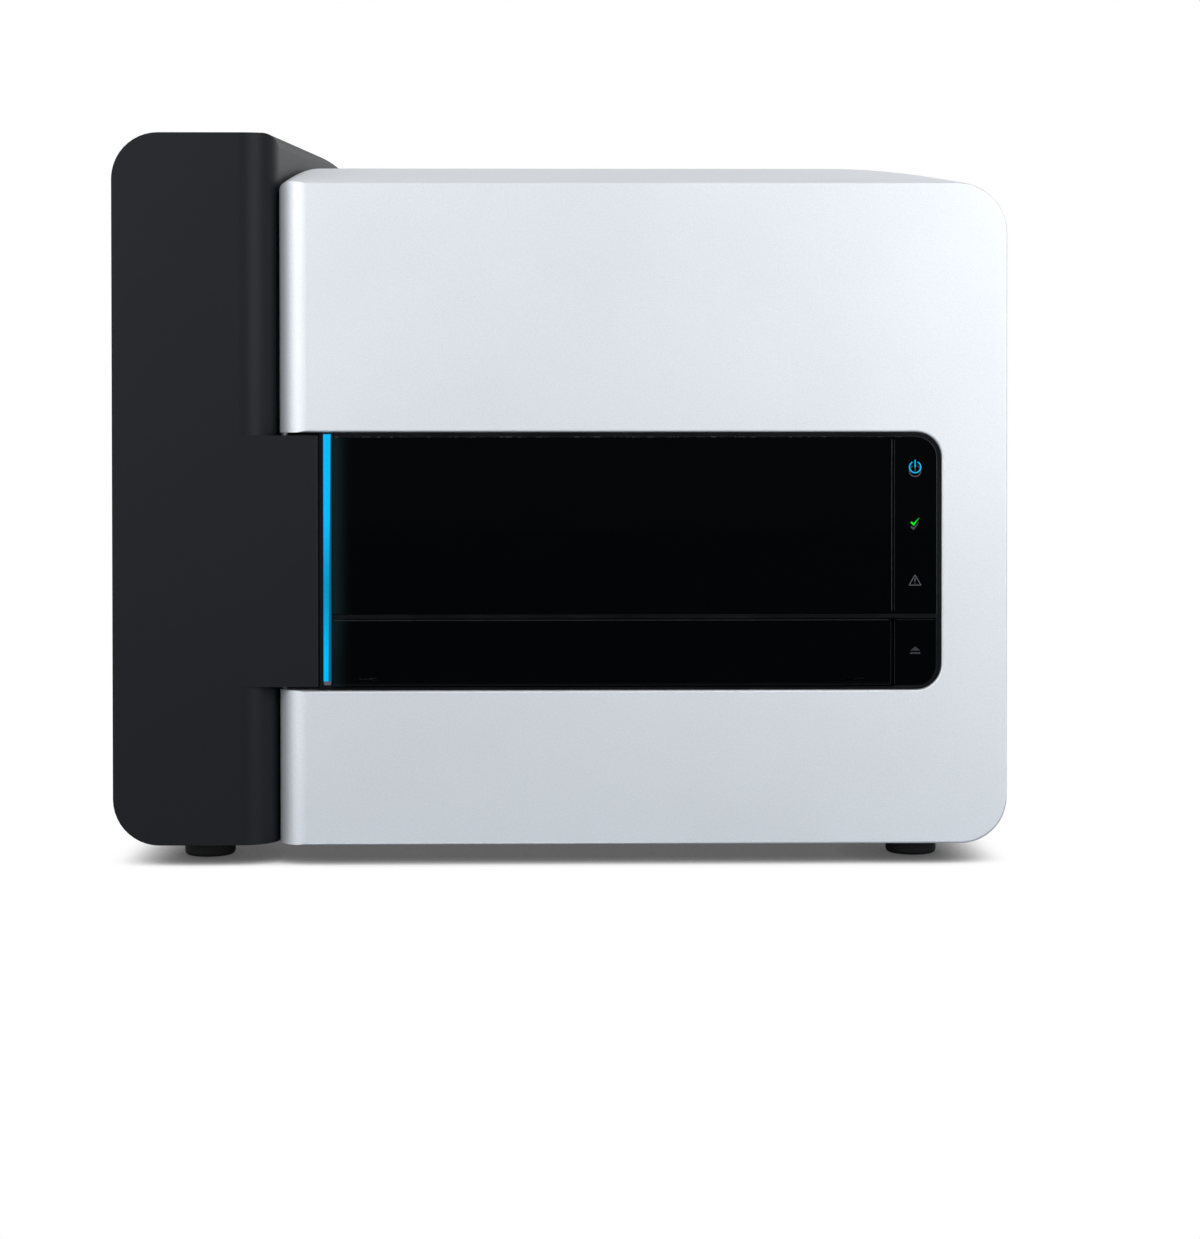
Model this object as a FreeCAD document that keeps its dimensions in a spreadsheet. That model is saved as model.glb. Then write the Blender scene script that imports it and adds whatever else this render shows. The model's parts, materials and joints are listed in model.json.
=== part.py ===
import FreeCAD, Part
import Sketcher
import math
import os
import re

# Microarray scanner, bench-top. +X to the right of a person facing it, +Y to the rear, +Z up.
# The origin lies on the bench, in the middle of the footprint. Millimetres throughout.

SIZES = {
    # whole instrument
    "total_wide": "520",
    "total_deep": "650",
    "foot_high": "12",
    "foot_wide": "30",
    "foot_inset": "50",
    "foot_front": "45",
    "foot_rear": "80",
    "shell_wall": "3",
    "panel_gap": "0.5",
    "seam_gap": "0.3",
    "edge_round": "1.2",
    # charcoal side module
    "side_wide": "94.8",
    "side_front_high": "425.5",
    "side_crest_high": "457",
    "side_crest_back": "430",
    "side_crown_round": "3000",
    "side_corner": "27",
    "side_brow": "8",
    "shoulder_round": "21",
    "tongue_reach": "24.5",
    "tongue_low": "104",
    "tongue_high": "250",
    "tongue_thick": "14",
    # silver front and cover
    "silver_front_high": "397",
    "silver_mid_high": "428.5",
    "silver_rear_high": "428.5",
    "silver_mid_back": "215",
    "corner_front": "30",
    "corner_mid": "88",
    "corner_rear": "88",
    "corner_low": "27",
    "inner_corner": "8",
    "nose_round": "17",
    "fascia_deep": "24",
    # window, its frame and what it holds
    "window_low": "101.8",
    "window_high": "251.8",
    "window_reach": "38.3",
    "window_round": "15",
    "frame_gap": "0.3",
    "frame_set": "1",
    "frame_deep": "17",
    "flange_thick": "2.5",
    "flange_lap": "8",
    "bezel": "2.6",
    "sill": "2",
    "light_inset": "2.8",
    "light_wide": "4.6",
    "light_proud": "0.5",
    "glass_set": "1.3",
    "glass_thick": "3",
    "piece_gap": "0.6",
    "column_wide": "24.9",
    "column_seam": "1",
    "door_tall": "39.4",
    "door_thick": "4",
    "door_set": "0.3",
    "door_seam": "1.6",
    "parting": "3",
    "recess_deep": "6",
    "mouth_side": "7",
    "mouth_low": "3.6",
    "mouth_top": "1.2",
    "knuckle_wide": "10",
    "knuckle_inset": "16",
    "pin_wide": "2",
    "icon_power": "85.6",
    "icon_ready": "53.1",
    "icon_warning": "19.4",
    "button_travel": "1.2",
    "stem_wide": "6",
    "collar_wide": "10",
    "collar_thick": "2",
    "spring_free": "8",
    # rear
    "rear_set": "6",
    "rear_sheet": "2",
    "panel_ease": "1",
    "fan_wide": "80",
    "fan_deep": "25",
    "fan_high": "370",
    "hub_wide": "28",
    "blade_count": "7",
    "inlet_high": "62",
    "switch_high": "98",
    "ports_high": "165",
    "screw_head": "7",
    "screw_shank": "4",
    # inside the main bay
    "sheet_thick": "2",
    "mount_high": "30",
    "bench_thick": "14",
    "bench_inset": "17",
    "bench_back": "60",
    "bench_long": "410",
    "tray_x": "30",
    "tray_wide": "168",
    "tray_thick": "7",
    "tray_lift": "28",
    "tray_set_back": "60",
    "tray_front_long": "110",
    "tray_long": "243",
    "neck_wide": "110",
    "slide_wide": "26",
    "slide_long": "76.6",
    "slide_pitch": "36",
    "slide_deep": "1.2",
    "rail_wide": "15",
    "rail_high": "12",
    "rail_apart": "110",
    "run_gap": "0.1",
    "block_wide": "34",
    "block_long": "30",
    "carriage_rise": "12",
    "carriage_long": "80",
    "carriage_back": "235",
    "carriage_plate": "8",
    "web_thick": "8",
    "pulley_wide": "16",
    "belt_thick": "1.5",
    "belt_rise": "5",
    "belt_high": "6",
    "motor_back": "352",
    "idler_back": "78",
    "motor_wide": "42",
    "motor_long": "28",
    "shaft_wide": "5",
    "boss_wide": "14",
    "bridge_back": "67",
    "bridge_wide": "240",
    "bridge_thick": "12",
    "bridge_high": "190",
    "bridge_long": "190",
    "head_rise": "14",
    "head_set": "10",
    "head_long": "50",
    "head_thick": "12",
    "lens_wide": "18",
    "lens_gap": "0.3",
    "screw_wide": "8",
    "beam_back": "395",
    "beam_long": "55",
    "beam_high": "60",
    # inside the side bay
    "board_back": "90",
    "board_long": "240",
    "board_low": "90",
    "board_tall": "240",
}

V = FreeCAD.Vector
doc = FreeCAD.newDocument("MicroarrayScanner")
sheet = doc.addObject("Spreadsheet::Sheet", "Sizes")
for row, (alias, number) in enumerate(SIZES.items(), 1):
    sheet.set(f"A{row}", alias)
    sheet.set(f"B{row}", number)
    sheet.setAlias(f"B{row}", alias)
doc.recompute()

# Planes and lines that several pieces share, worked out from the sizes
LEFT, RIGHT = "(-total_wide / 2)", "(total_wide / 2)"
FRONT, REAR = "(-total_deep / 2)", "(total_deep / 2)"
MODULE_RIGHT = f"({LEFT} + side_wide)"
SILVER_LEFT = f"({MODULE_RIGHT} + panel_gap)"
TONGUE_RIGHT = f"({MODULE_RIGHT} + tongue_reach)"
WINDOW_RIGHT = f"({RIGHT} - window_reach)"
FLOOR = "(foot_high + shell_wall + sheet_thick)"
BENCH_LOW = f"({FLOOR} + mount_high)"
BENCH_TOP = f"({BENCH_LOW} + bench_thick)"

# The window: from left to right the light pipe, the glass or the door, and the status column
LIGHT_LEFT = f"({TONGUE_RIGHT} + light_inset)"
LIGHT_RIGHT = f"({LIGHT_LEFT} + light_wide)"
GLASS_LEFT = f"({LIGHT_RIGHT} + piece_gap)"
COLUMN_RIGHT = f"({WINDOW_RIGHT} - frame_gap - bezel)"
COLUMN_LEFT = f"({COLUMN_RIGHT} - column_wide)"
GLASS_RIGHT = f"({COLUMN_LEFT} - column_seam)"
DOOR_RIGHT = f"({COLUMN_LEFT} - door_seam)"
DOOR_LOW = "(window_low + sill)"
DOOR_HIGH = f"({DOOR_LOW} + door_tall)"
GLASS_LOW = f"({DOOR_HIGH} + parting)"
GLASS_HIGH = "(window_high - frame_gap - bezel)"
HINGE_Y = f"({FRONT} + door_set + door_thick / 2)"
HINGE_Z = f"({DOOR_LOW} + door_thick / 2)"
FRAME_FRONT = f"({FRONT} + frame_set)"
FRAME_BACK = f"({FRONT} + frame_deep)"

# The loader: tray, carriage and rails, from the top down
TRAY_LOW = f"({HINGE_Z} + tray_lift)"
TRAY_TOP = f"({TRAY_LOW} + tray_thick)"
TRAY_FRONT = f"({HINGE_Y} + tray_set_back)"
RAIL_TOP = f"({BENCH_TOP} + rail_high)"
CARRIAGE_LOW = f"({RAIL_TOP} + carriage_rise)"
CARRIAGE_FRONT = f"({FRONT} + carriage_back)"
CARRIAGE_REAR = f"({CARRIAGE_FRONT} + carriage_long)"
BRIDGE_FRONT = f"({FRONT} + bridge_back)"
BRIDGE_REAR = f"({BRIDGE_FRONT} + bridge_long)"
HEAD_LOW = "(bridge_high + head_rise)"
HEAD_TOP = f"({HEAD_LOW} + head_thick)"
HEAD_FRONT = f"({BRIDGE_FRONT} + head_set)"
LENS_Y = f"({HEAD_FRONT} + head_long / 2)"
SIDE_X = f"({LEFT} + side_wide / 2)"
REAR_SKIN = f"({REAR} - rear_set)"
REAR_INSIDE = f"({REAR_SKIN} - rear_sheet)"


def bound(text):
    """Write a size expression with the spreadsheet's name before each alias."""
    return re.sub(r"[a-z_]+", lambda m: "Sizes." + m.group() if m.group() in SIZES else m.group(), str(text))


def value(text):
    """The number that a size expression stands for now."""
    return float(sheet.evalExpression(bound(text)))


AXES = {"X": ("YZ_Plane", 1), "Y": ("XZ_Plane", -1), "Z": ("XY_Plane", 1)}


def new_body(label):
    body = doc.addObject("PartDesign::Body", label)
    body.Label = label
    return body


def new_sketch(body, axis, at):
    """A sketch square to an axis, at a given place along it."""
    role, sign = AXES[axis]
    sketch = body.newObject("Sketcher::SketchObject", f"{body.Label}_sketch")
    plane = next(f for f in body.Origin.OriginFeatures if f.Role == role)
    sketch.AttachmentSupport = [(plane, "")]
    sketch.MapMode = "FlatFace"
    sketch.setExpression("AttachmentOffset.Base.z", bound(f"({sign}) * ({at})"))
    return sketch


def disc(x, y, wide):
    """A round outline: its centre and its width across."""
    return ("disc", x, y, wide)


def outline(sketch, points):
    """Draw a closed outline. A point is (x, y) at a sharp corner, or (x, y, radius) at a rounded one."""
    if points[0] == "disc":
        x, y, wide = points[1:]
        radius = value(f"({wide}) / 2")
        circle = sketch.addGeometry(Part.Circle(V(value(x), value(y), 0), V(0, 0, 1), radius))
        place(sketch, circle, 3, (x, y), V(value(x), value(y), 0))
        index = sketch.addConstraint(Sketcher.Constraint("Radius", circle, radius))
        sketch.setExpression(f"Constraints[{index}]", bound(f"({wide}) / 2"))
        return
    count = len(points)
    here = [V(value(p[0]), value(p[1]), 0) for p in points]
    into, away = [], []
    for i, point in enumerate(points):
        back = (here[i - 1] - here[i]).normalize()
        ahead = (here[(i + 1) % count] - here[i]).normalize()
        reach = 0
        if len(point) == 3:
            reach = value(point[2]) / math.tan(back.getAngle(ahead) / 2)
        into.append(here[i] + back * reach)
        away.append(here[i] + ahead * reach)
    lines = [sketch.addGeometry(Part.LineSegment(away[i], into[(i + 1) % count])) for i in range(count)]
    for i, point in enumerate(points):
        before, after = lines[i - 1], lines[i]
        if len(point) == 2:
            sketch.addConstraint(Sketcher.Constraint("Coincident", before, 2, after, 1))
            place(sketch, after, 1, point, here[i])
            continue
        back, ahead = (into[i] - here[i]).normalize(), (away[i] - here[i]).normalize()
        centre_reach = math.hypot((into[i] - here[i]).Length, value(point[2]))
        middle = here[i] + (back + ahead).normalize() * (centre_reach - value(point[2]))
        arc = sketch.addGeometry(Part.ArcOfCircle(into[i], middle, away[i]))
        forward = (sketch.Geometry[arc].StartPoint - into[i]).Length < 1e-6
        first, last = (1, 2) if forward else (2, 1)
        if is_square(back) and is_square(ahead):
            place(sketch, before, 2, shifted(point, back), into[i])
            place(sketch, after, 1, shifted(point, ahead), away[i])
            sketch.addConstraint(Sketcher.Constraint("Coincident", before, 2, arc, first))
            sketch.addConstraint(Sketcher.Constraint("Coincident", after, 1, arc, last))
        else:
            corner = sketch.addGeometry(Part.Point(here[i]), True)
            place(sketch, corner, 1, point, here[i])
            sketch.addConstraint(Sketcher.Constraint("PointOnObject", corner, 1, before))
            sketch.addConstraint(Sketcher.Constraint("PointOnObject", corner, 1, after))
            sketch.addConstraint(Sketcher.Constraint("Tangent", before, 2, arc, first))
            sketch.addConstraint(Sketcher.Constraint("Tangent", after, 1, arc, last))
        index = sketch.addConstraint(Sketcher.Constraint("Radius", arc, value(point[2])))
        sketch.setExpression(f"Constraints[{index}]", bound(point[2]))


def is_square(direction):
    """Whether a side of an outline runs along the sketch's X or Y."""
    return min(abs(direction.x), abs(direction.y)) < 1e-9


def shifted(point, direction):
    """Where a rounded corner ends on a square side: its corner moved by its radius."""
    x, y, radius = point
    return f"({x}) + {round(direction.x)} * ({radius})", f"({y}) + {round(direction.y)} * ({radius})"


def place(sketch, geometry, end, point, where):
    """Tie a point of a sketch to the two expressions that say where it lies."""
    for kind, text, number in (("DistanceX", point[0], where.x), ("DistanceY", point[1], where.y)):
        index = sketch.addConstraint(Sketcher.Constraint(kind, -1, 1, geometry, end, number))
        sketch.setExpression(f"Constraints[{index}]", bound(text))


def pad(body, axis, low, high, *outlines):
    """Add a prism between two places on an axis."""
    sketch = new_sketch(body, axis, high if axis == "Y" else low)
    for points in outlines:
        outline(sketch, points)
    feature = body.newObject("PartDesign::Pad", f"{body.Label}_pad")
    feature.Profile = sketch
    feature.setExpression("Length", bound(f"({high}) - ({low})"))
    return settle(body, feature)


def pocket(body, axis, low, high, *outlines):
    """Cut a prism between two places on an axis."""
    before = body.Tip.Shape.Volume
    sketch = new_sketch(body, axis, low if axis == "Y" else high)
    for points in outlines:
        outline(sketch, points)
    feature = body.newObject("PartDesign::Pocket", f"{body.Label}_pocket")
    feature.Profile = sketch
    feature.setExpression("Length", bound(f"({high}) - ({low})"))
    settle(body, feature)
    if feature.Shape.Volume >= before:
        raise RuntimeError(f"{body.Label}: {feature.Name} cuts nothing")
    return feature


def settle(body, feature):
    body.Tip = feature
    doc.recompute()
    if feature.Shape.isNull():
        doc.recompute(None, True)
    if feature.Shape.isNull() or "Invalid" in feature.State:
        raise RuntimeError(f"{body.Label}: {feature.Name} {feature.State}")
    return feature


def edges_where(feature, test):
    return [f"Edge{i}" for i, e in enumerate(feature.Shape.Edges, 1) if test(e.BoundBox, e)]


def faces_where(feature, test):
    return [f"Face{i}" for i, f in enumerate(feature.Shape.Faces, 1) if test(f.BoundBox, f)]


def fillet(body, radius, test):
    base = body.Tip
    names = edges_where(base, test)
    feature = body.newObject("PartDesign::Fillet", f"{body.Label}_fillet")
    feature.Base = (base, names)
    feature.setExpression("Radius", bound(radius))
    return settle(body, feature)


def oblong(x0, x1, y0, y1, *radius):
    return [(x0, y0, *radius), (x1, y0, *radius), (x1, y1, *radius), (x0, y1, *radius)]


FINISHED = []


def finished(part):
    """Note a sub-part that is complete."""
    FINISHED.append(part)
    return part


def bind(part, **sizes):
    for name, text in sizes.items():
        part.setExpression(name.replace("_", "."), bound(text))
    return part


def block(x0, x1, y0, y1, z0, z1, label="block"):
    """A plain box between six places."""
    part = doc.addObject("Part::Box", label)
    bind(part, Length=f"({x1}) - ({x0})", Width=f"({y1}) - ({y0})", Height=f"({z1}) - ({z0})")
    return bind(part, Placement_Base_x=x0, Placement_Base_y=y0, Placement_Base_z=z0)


TURNS = {"X": FreeCAD.Rotation(V(0, 1, 0), 90), "Y": FreeCAD.Rotation(V(1, 0, 0), -90),
    "Z": FreeCAD.Rotation()}


def rod(axis, across, low, high, wide, label="rod", tip=None):
    """A cylinder along an axis, or a cone where the far end has another width."""
    part = doc.addObject("Part::Cone" if tip else "Part::Cylinder", label)
    part.Placement = FreeCAD.Placement(V(), TURNS[axis])
    if tip:
        bind(part, Radius1=f"({wide}) / 2", Radius2=f"({tip}) / 2")
    else:
        bind(part, Radius=f"({wide}) / 2")
    first, second = across
    where = {"X": (low, first, second), "Y": (first, low, second), "Z": (first, second, low)}[axis]
    bind(part, Height=f"({high}) - ({low})")
    return bind(part, Placement_Base_x=where[0], Placement_Base_y=where[1], Placement_Base_z=where[2])


def join(label, parts):
    if len(parts) == 1:
        parts[0].Label = label
        return parts[0]
    part = doc.addObject("Part::MultiFuse", label)
    part.Label = label
    part.Shapes = parts
    return part


def remove(label, base, tools):
    part = doc.addObject("Part::Cut", label)
    part.Label = label
    part.Base = base
    part.Tool = join(f"{label}_tool", tools)
    return part


def together(label, parts):
    """Like pieces that share a node, as separate solids."""
    part = doc.addObject("Part::Compound", label)
    part.Label = label
    part.Links = parts
    return part


def around(axis, reach=20):
    """An oblong well outside the whole instrument, for trimming to an outline."""
    if axis == "Z":
        return oblong(f"{LEFT} - {reach}", f"{RIGHT} + {reach}", f"{FRONT} - {reach}", f"{REAR} + {reach}")
    return oblong(f"{LEFT} - {reach}", f"{RIGHT} + {reach}", f"-{reach}", f"side_crest_high + {reach}")


# Charcoal side module: a shell with a crowned top, a shoulder rolled back to the valley and a flat tongue


def foot_places():
    for side, x in (("left", f"({LEFT} + foot_inset)"), ("right", f"({RIGHT} - foot_inset)")):
        for end, y in (("front", f"({FRONT} + foot_front)"), ("rear", f"({REAR} - foot_rear)")):
            yield side, end, x, y


def foot_holes(body, bay, low, high):
    """Holes for the foot screws through a shell or a floor."""
    pocket(body, "Z", low, high,
        *[disc(x, y, "screw_shank + 0.2") for side, end, x, y in foot_places() if side == bay])


def module_form(label, inset, rear):
    """The side module's crowned block with its rounded corner, brow and shoulder, moved in by an inset."""
    body = new_body(label)
    left, right, front = f"({LEFT} + {inset})", f"({MODULE_RIGHT} - {inset})", f"({FRONT} + {inset})"
    low, crest = f"foot_high + {inset}", f"side_crest_high - {inset}"
    pad(body, "X", left, right, [
        (front, low), (rear, low), (rear, crest),
        (f"{FRONT} + side_crest_back", crest, "side_crown_round"), (front, f"side_front_high - {inset}")])
    outer, inner, brow = value(left), value(right), value("side_front_high") - value(inset) - 1
    fillet(body, f"side_corner - {inset}",
        lambda b, e: abs(b.XMax - outer) < 0.01 and b.YLength > 1 and b.ZLength < 100)
    fillet(body, f"side_brow - {inset}",
        lambda b, e: abs(b.XMin - inner) < 0.01 and b.YLength > 1 and b.ZMin > brow)
    return body, [(left, front), (right, front, f"shoulder_round - {inset}"), (right, rear), (left, rear)]


def side_module_shell():
    body, plan = module_form("side_module_shell", "0", REAR)
    for low, high in (("0", "tongue_low"), ("tongue_high", "side_crest_high + 10")):
        pocket(body, "Z", low, high, around("Z"), plan)
    hollow, plan = module_form("side_module_hollow", "shell_wall", f"({REAR} + 1)")
    pocket(hollow, "Z", "0", "side_crest_high + 10", around("Z"), plan)
    cut = body.newObject("PartDesign::Boolean", "side_wall")
    cut.Type = "Cut"
    cut.setObjects([hollow])
    settle(body, cut)
    pad(body, "Y", FRONT, f"{FRONT} + tongue_thick",
        oblong(f"{MODULE_RIGHT} - shoulder_round", TONGUE_RIGHT, "tongue_low", "tongue_high"))
    pocket(body, "X", f"{MODULE_RIGHT} - shell_wall - 1", f"{MODULE_RIGHT} + 1",
           oblong(f"{REAR} - 220", f"{REAR} - 140", "150", "260", "8"))
    foot_holes(body, "left", "foot_high - 1", "foot_high + shell_wall + 1")
    tip, front = value(TONGUE_RIGHT), value(FRONT)
    fillet(body, "edge_round",
        lambda b, e: abs(b.XMin - tip) < 0.01 and b.ZLength > 1 and b.YMax < front + 0.01)
    return finished(body)


# Silver housing: one crowned form, parted near the front into a fascia and a cover


def silver_section(body, at, top, corner, inset):
    sketch = new_sketch(body, "Y", at)
    outline(sketch, [
        (f"{SILVER_LEFT} + {inset}", f"foot_high + {inset}"),
        (f"{RIGHT} - {inset}", f"foot_high + {inset}", f"corner_low - {inset}"),
        (f"{RIGHT} - {inset}", f"{top} - {inset}", f"{corner} - {inset}"),
        (f"{SILVER_LEFT} + {inset}", f"{top} - {inset}", f"inner_corner - {inset}")])
    return sketch


def silver_form(body, kind, inset="0"):
    sections = [silver_section(body, at, top, corner, inset) for at, top, corner in (
        (FRONT, "silver_front_high", "corner_front"),
        (f"({FRONT} + silver_mid_back)", "silver_mid_high", "corner_mid"),
        (REAR, "silver_rear_high", "corner_rear"))]
    loft = body.newObject(f"PartDesign::{kind}", f"{body.Label}_form")
    loft.Profile = sections[0]
    loft.Sections = sections[1:]
    return settle(body, loft)


def window_outline(grow="0", left=None):
    left = left or f"{SILVER_LEFT} - 10"
    return [(left, f"window_low - {grow}"),
            (f"{WINDOW_RIGHT} + {grow}", f"window_low - {grow}", f"window_round + {grow}"),
            (f"{WINDOW_RIGHT} + {grow}", f"window_high + {grow}", f"window_round + {grow}"),
            (left, f"window_high + {grow}")]


def front_fascia():
    body = new_body("front_fascia")
    silver_form(body, "AdditiveLoft")
    back = f"{FRONT} + fascia_deep + 1"
    pocket(body, "Y", f"{FRONT} + fascia_deep", f"{REAR} + 10", around("Y"))
    pocket(body, "Y", f"{FRONT} - 1", back, window_outline())
    front = value(FRONT)
    fillet(body, "edge_round", lambda b, e: b.YMax < front + 0.01 and b.XMax > value(SILVER_LEFT) + 1)
    pocket(body, "Z", "0", "side_crest_high + 10", around("Z"),
           [(SILVER_LEFT, FRONT, "nose_round"), (f"{RIGHT} + 5", FRONT),
               (f"{RIGHT} + 5", REAR), (SILVER_LEFT, REAR)])
    inner = f"{SILVER_LEFT} + nose_round"
    wall = "shell_wall"
    pocket(body, "Y", f"{FRONT} + {wall}", back, [
        (inner, f"silver_front_high - {wall}"),
        (f"{RIGHT} - {wall}", f"silver_front_high - {wall}", f"corner_front - {wall}"),
        (f"{RIGHT} - {wall}", f"foot_high + {wall}", f"corner_low - {wall}"),
        (inner, f"foot_high + {wall}"), *window_outline(wall, inner)])
    lap = "(flange_lap + 0.5)"
    pocket(body, "Y", f"{FRAME_BACK} - flange_thick", back, oblong(
        f"{SILVER_LEFT} - 10", f"{WINDOW_RIGHT} + {lap}", f"window_low - {lap}", f"window_high + {lap}"))
    return finished(body)


def main_cover():
    body = new_body("main_cover")
    silver_form(body, "AdditiveLoft")
    silver_form(body, "SubtractiveLoft", "shell_wall")
    pocket(body, "Y", f"{FRONT} - 10", f"{FRONT} + fascia_deep + seam_gap",
           around("Y"))
    pocket(body, "Z", "foot_high - 1", "foot_high + shell_wall + 1",
           oblong(f"{SILVER_LEFT} + 20", f"{RIGHT} - 90", f"{FRONT} + 120", f"{REAR} - 120", "10"))
    foot_holes(body, "right", "foot_high - 1", "foot_high + shell_wall + 1")
    pocket(body, "X", f"{SILVER_LEFT} - 1", f"{SILVER_LEFT} + shell_wall + 1",
           oblong(f"{REAR} - 220", f"{REAR} - 140", "150", "260", "8"))
    return finished(body)


def base_pan(label, bay, x0, x1, y0, y1):
    """A folded steel floor with its two long sides turned up."""
    body = new_body(label)
    low = "foot_high + shell_wall"
    pad(body, "Z", low, FLOOR, oblong(x0, x1, y0, y1, "6"))
    for a, b in ((x0, f"{x0} + sheet_thick"), (f"{x1} - sheet_thick", x1)):
        pad(body, "X", a, b, [(f"{y0} + 10", low), (f"{y1} - 10", low), (f"{y1} - 10", f"{FLOOR} + 16", "6"),
                              (f"{y0} + 10", f"{FLOOR} + 16", "6")])
    foot_holes(body, bay, f"{low} - 1", f"{FLOOR} + 1")
    return finished(body)


def floors():
    base_pan("chassis_base", "right", f"{SILVER_LEFT} + shell_wall + seam_gap", f"{RIGHT} - corner_low",
             f"{FRONT} + fascia_deep + 3", f"{REAR_INSIDE} - 1")
    base_pan("side_bay_floor", "left", f"{LEFT} + side_corner", f"{MODULE_RIGHT} - shell_wall - seam_gap",
             f"{FRONT} + shoulder_round + 3", f"{REAR_INSIDE} - 1")


def feet():
    """Turned rubber feet with a rounded tread and a sunk screw."""
    screws = []
    for side, end, x, y in foot_places():
        body = new_body(f"foot_{end}_{side}")
        sketch = new_sketch(body, "Y", y)
        outline(sketch, [
            (f"{x} + screw_head / 2 + 1", "0"), (f"{x} + foot_wide / 2", "0", "2.5"),
            (f"{x} + foot_wide / 2", "foot_high"), (f"{x} + screw_shank / 2 + 0.2", "foot_high"),
            (f"{x} + screw_shank / 2 + 0.2", "6"), (f"{x} + screw_head / 2 + 1", "6")])
        axis = sketch.addGeometry(Part.LineSegment(V(value(x), 0, 0), V(value(x), value("foot_high"), 0)),
            True)
        place(sketch, axis, 1, (x, "0"), V(value(x), 0, 0))
        place(sketch, axis, 2, (x, "foot_high"), V(value(x), value("foot_high"), 0))
        turned = body.newObject("PartDesign::Revolution", f"{body.Label}_turned")
        turned.Profile = sketch
        turned.ReferenceAxis = (sketch, ["Axis0"])
        turned.Angle = 360
        settle(body, turned)
        finished(body)
        head = rod("Z", (x, y), "3", "6", "screw_head")
        shank = rod("Z", (x, y), "5.5", f"{FLOOR} + 3", "screw_shank")
        screws.append(join(f"foot_screw_{end}_{side}", [head, shank]))
    finished(together("foot_screws", screws))


# Window: frame, glass, status column, light pipe


def frame_outline(grow="0"):
    left = f"{TONGUE_RIGHT} + panel_gap"
    return window_outline(f"({grow} - frame_gap)", left)


def corner_piece(x0, x1, z0, z1, which, radius):
    """An oblong with one rounded corner on its right."""
    points = oblong(x0, x1, z0, z1)
    index = {"low": 1, "high": 2}[which]
    points[index] = (*points[index], radius)
    return points


INNER_ROUND = "window_round - frame_gap - bezel"
GAP = "piece_gap / 2"


def window_frame():
    body = new_body("window_frame")
    pad(body, "Y", FRAME_FRONT, FRAME_BACK, frame_outline())
    pad(body, "Y", f"{FRAME_BACK} - flange_thick", FRAME_BACK, oblong(
        f"{SILVER_LEFT} + 5", f"{WINDOW_RIGHT} + flange_lap", "window_low - flange_lap",
        "window_high + flange_lap", "6"))
    seat = f"{FRONT} + glass_set + glass_thick + 0.2"
    glass_left, column_right = f"{GLASS_LEFT} - {GAP}", f"{COLUMN_RIGHT} + {GAP}"
    pocket(body, "Y", f"{FRONT} - 1", seat, corner_piece(
        glass_left, column_right, f"{GLASS_LOW} - {GAP}", f"{GLASS_HIGH} + {GAP}", "high", INNER_ROUND))
    pocket(body, "Y", f"{FRONT} - 1", f"{FRONT} + recess_deep", corner_piece(
        glass_left, column_right, f"{DOOR_LOW} - {GAP}", f"{DOOR_HIGH} + {GAP}", "low", INNER_ROUND))
    pocket(body, "Y", f"{FRONT} + recess_deep - 1", f"{FRAME_BACK} + 1", oblong(
        f"{GLASS_LEFT} + mouth_side", f"{DOOR_RIGHT} - mouth_side",
        f"{DOOR_LOW} + mouth_low", f"{DOOR_HIGH} - mouth_top", "3"))
    pocket(body, "Y", f"{FRONT} - 1", f"{FRAME_BACK} + 1", oblong(
        f"{LIGHT_LEFT} - 0.1", f"{LIGHT_RIGHT} + 0.1", "window_low + 3", "window_high - frame_gap - 0.6"))
    mid_x, mid_z = f"({COLUMN_LEFT} + {COLUMN_RIGHT}) / 2", f"({DOOR_LOW} + {DOOR_HIGH}) / 2"
    pocket(body, "Y", f"{FRONT} + recess_deep - 1", f"{FRAME_BACK} + 1",
        disc(mid_x, mid_z, "stem_wide + 0.4"))
    for z in ICON_PLACES[:3]:
        pocket(body, "Y", f"{FRONT} + glass_set + 1", f"{FRAME_BACK} + 1", oblong(
            f"{mid_x} - 5", f"{mid_x} + 5", f"{GLASS_LOW} + {z} - 5", f"{GLASS_LOW} + {z} + 5", "1"))
    for x in knuckle_places():
        pocket(body, "Y", f"{FRONT} + recess_deep - 1", f"{FRONT} + recess_deep + 4", oblong(
            f"{x} - 0.2", f"{x} + knuckle_wide + 0.2", f"{DOOR_LOW} - {GAP} + 0.05", f"{DOOR_LOW} + 8"))
    return finished(body)


ICON_PLACES = ("icon_power", "icon_ready", "icon_warning")


def knuckle_places():
    return f"({GLASS_LEFT} + knuckle_inset)", f"({DOOR_RIGHT} - knuckle_inset - knuckle_wide)"


def window_panes():
    front, back = f"{FRONT} + glass_set", f"{FRONT} + glass_set + glass_thick"
    glass = new_body("window_glass")
    pad(glass, "Y", front, back, oblong(GLASS_LEFT, GLASS_RIGHT, GLASS_LOW, GLASS_HIGH, "0.6"))
    finished(glass)
    column = new_body("status_panel")
    points = corner_piece(COLUMN_LEFT, COLUMN_RIGHT, GLASS_LOW, GLASS_HIGH, "high", f"{INNER_ROUND} - {GAP}")
    pad(column, "Y", front, back, points)
    finished(column)
    pipe = new_body("light_pipe")
    low, high = "window_low + 3.2", "window_high - frame_gap - 0.8"
    pad(pipe, "Y", f"{FRONT} + light_proud", f"{FRAME_BACK} + 2", oblong(LIGHT_LEFT, LIGHT_RIGHT, low, high))
    front_y = value(f"{FRONT} + light_proud")
    fillet(pipe, "edge_round", lambda b, e: b.YMax < front_y + 0.01 and b.ZLength > 1)
    finished(pipe)


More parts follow.
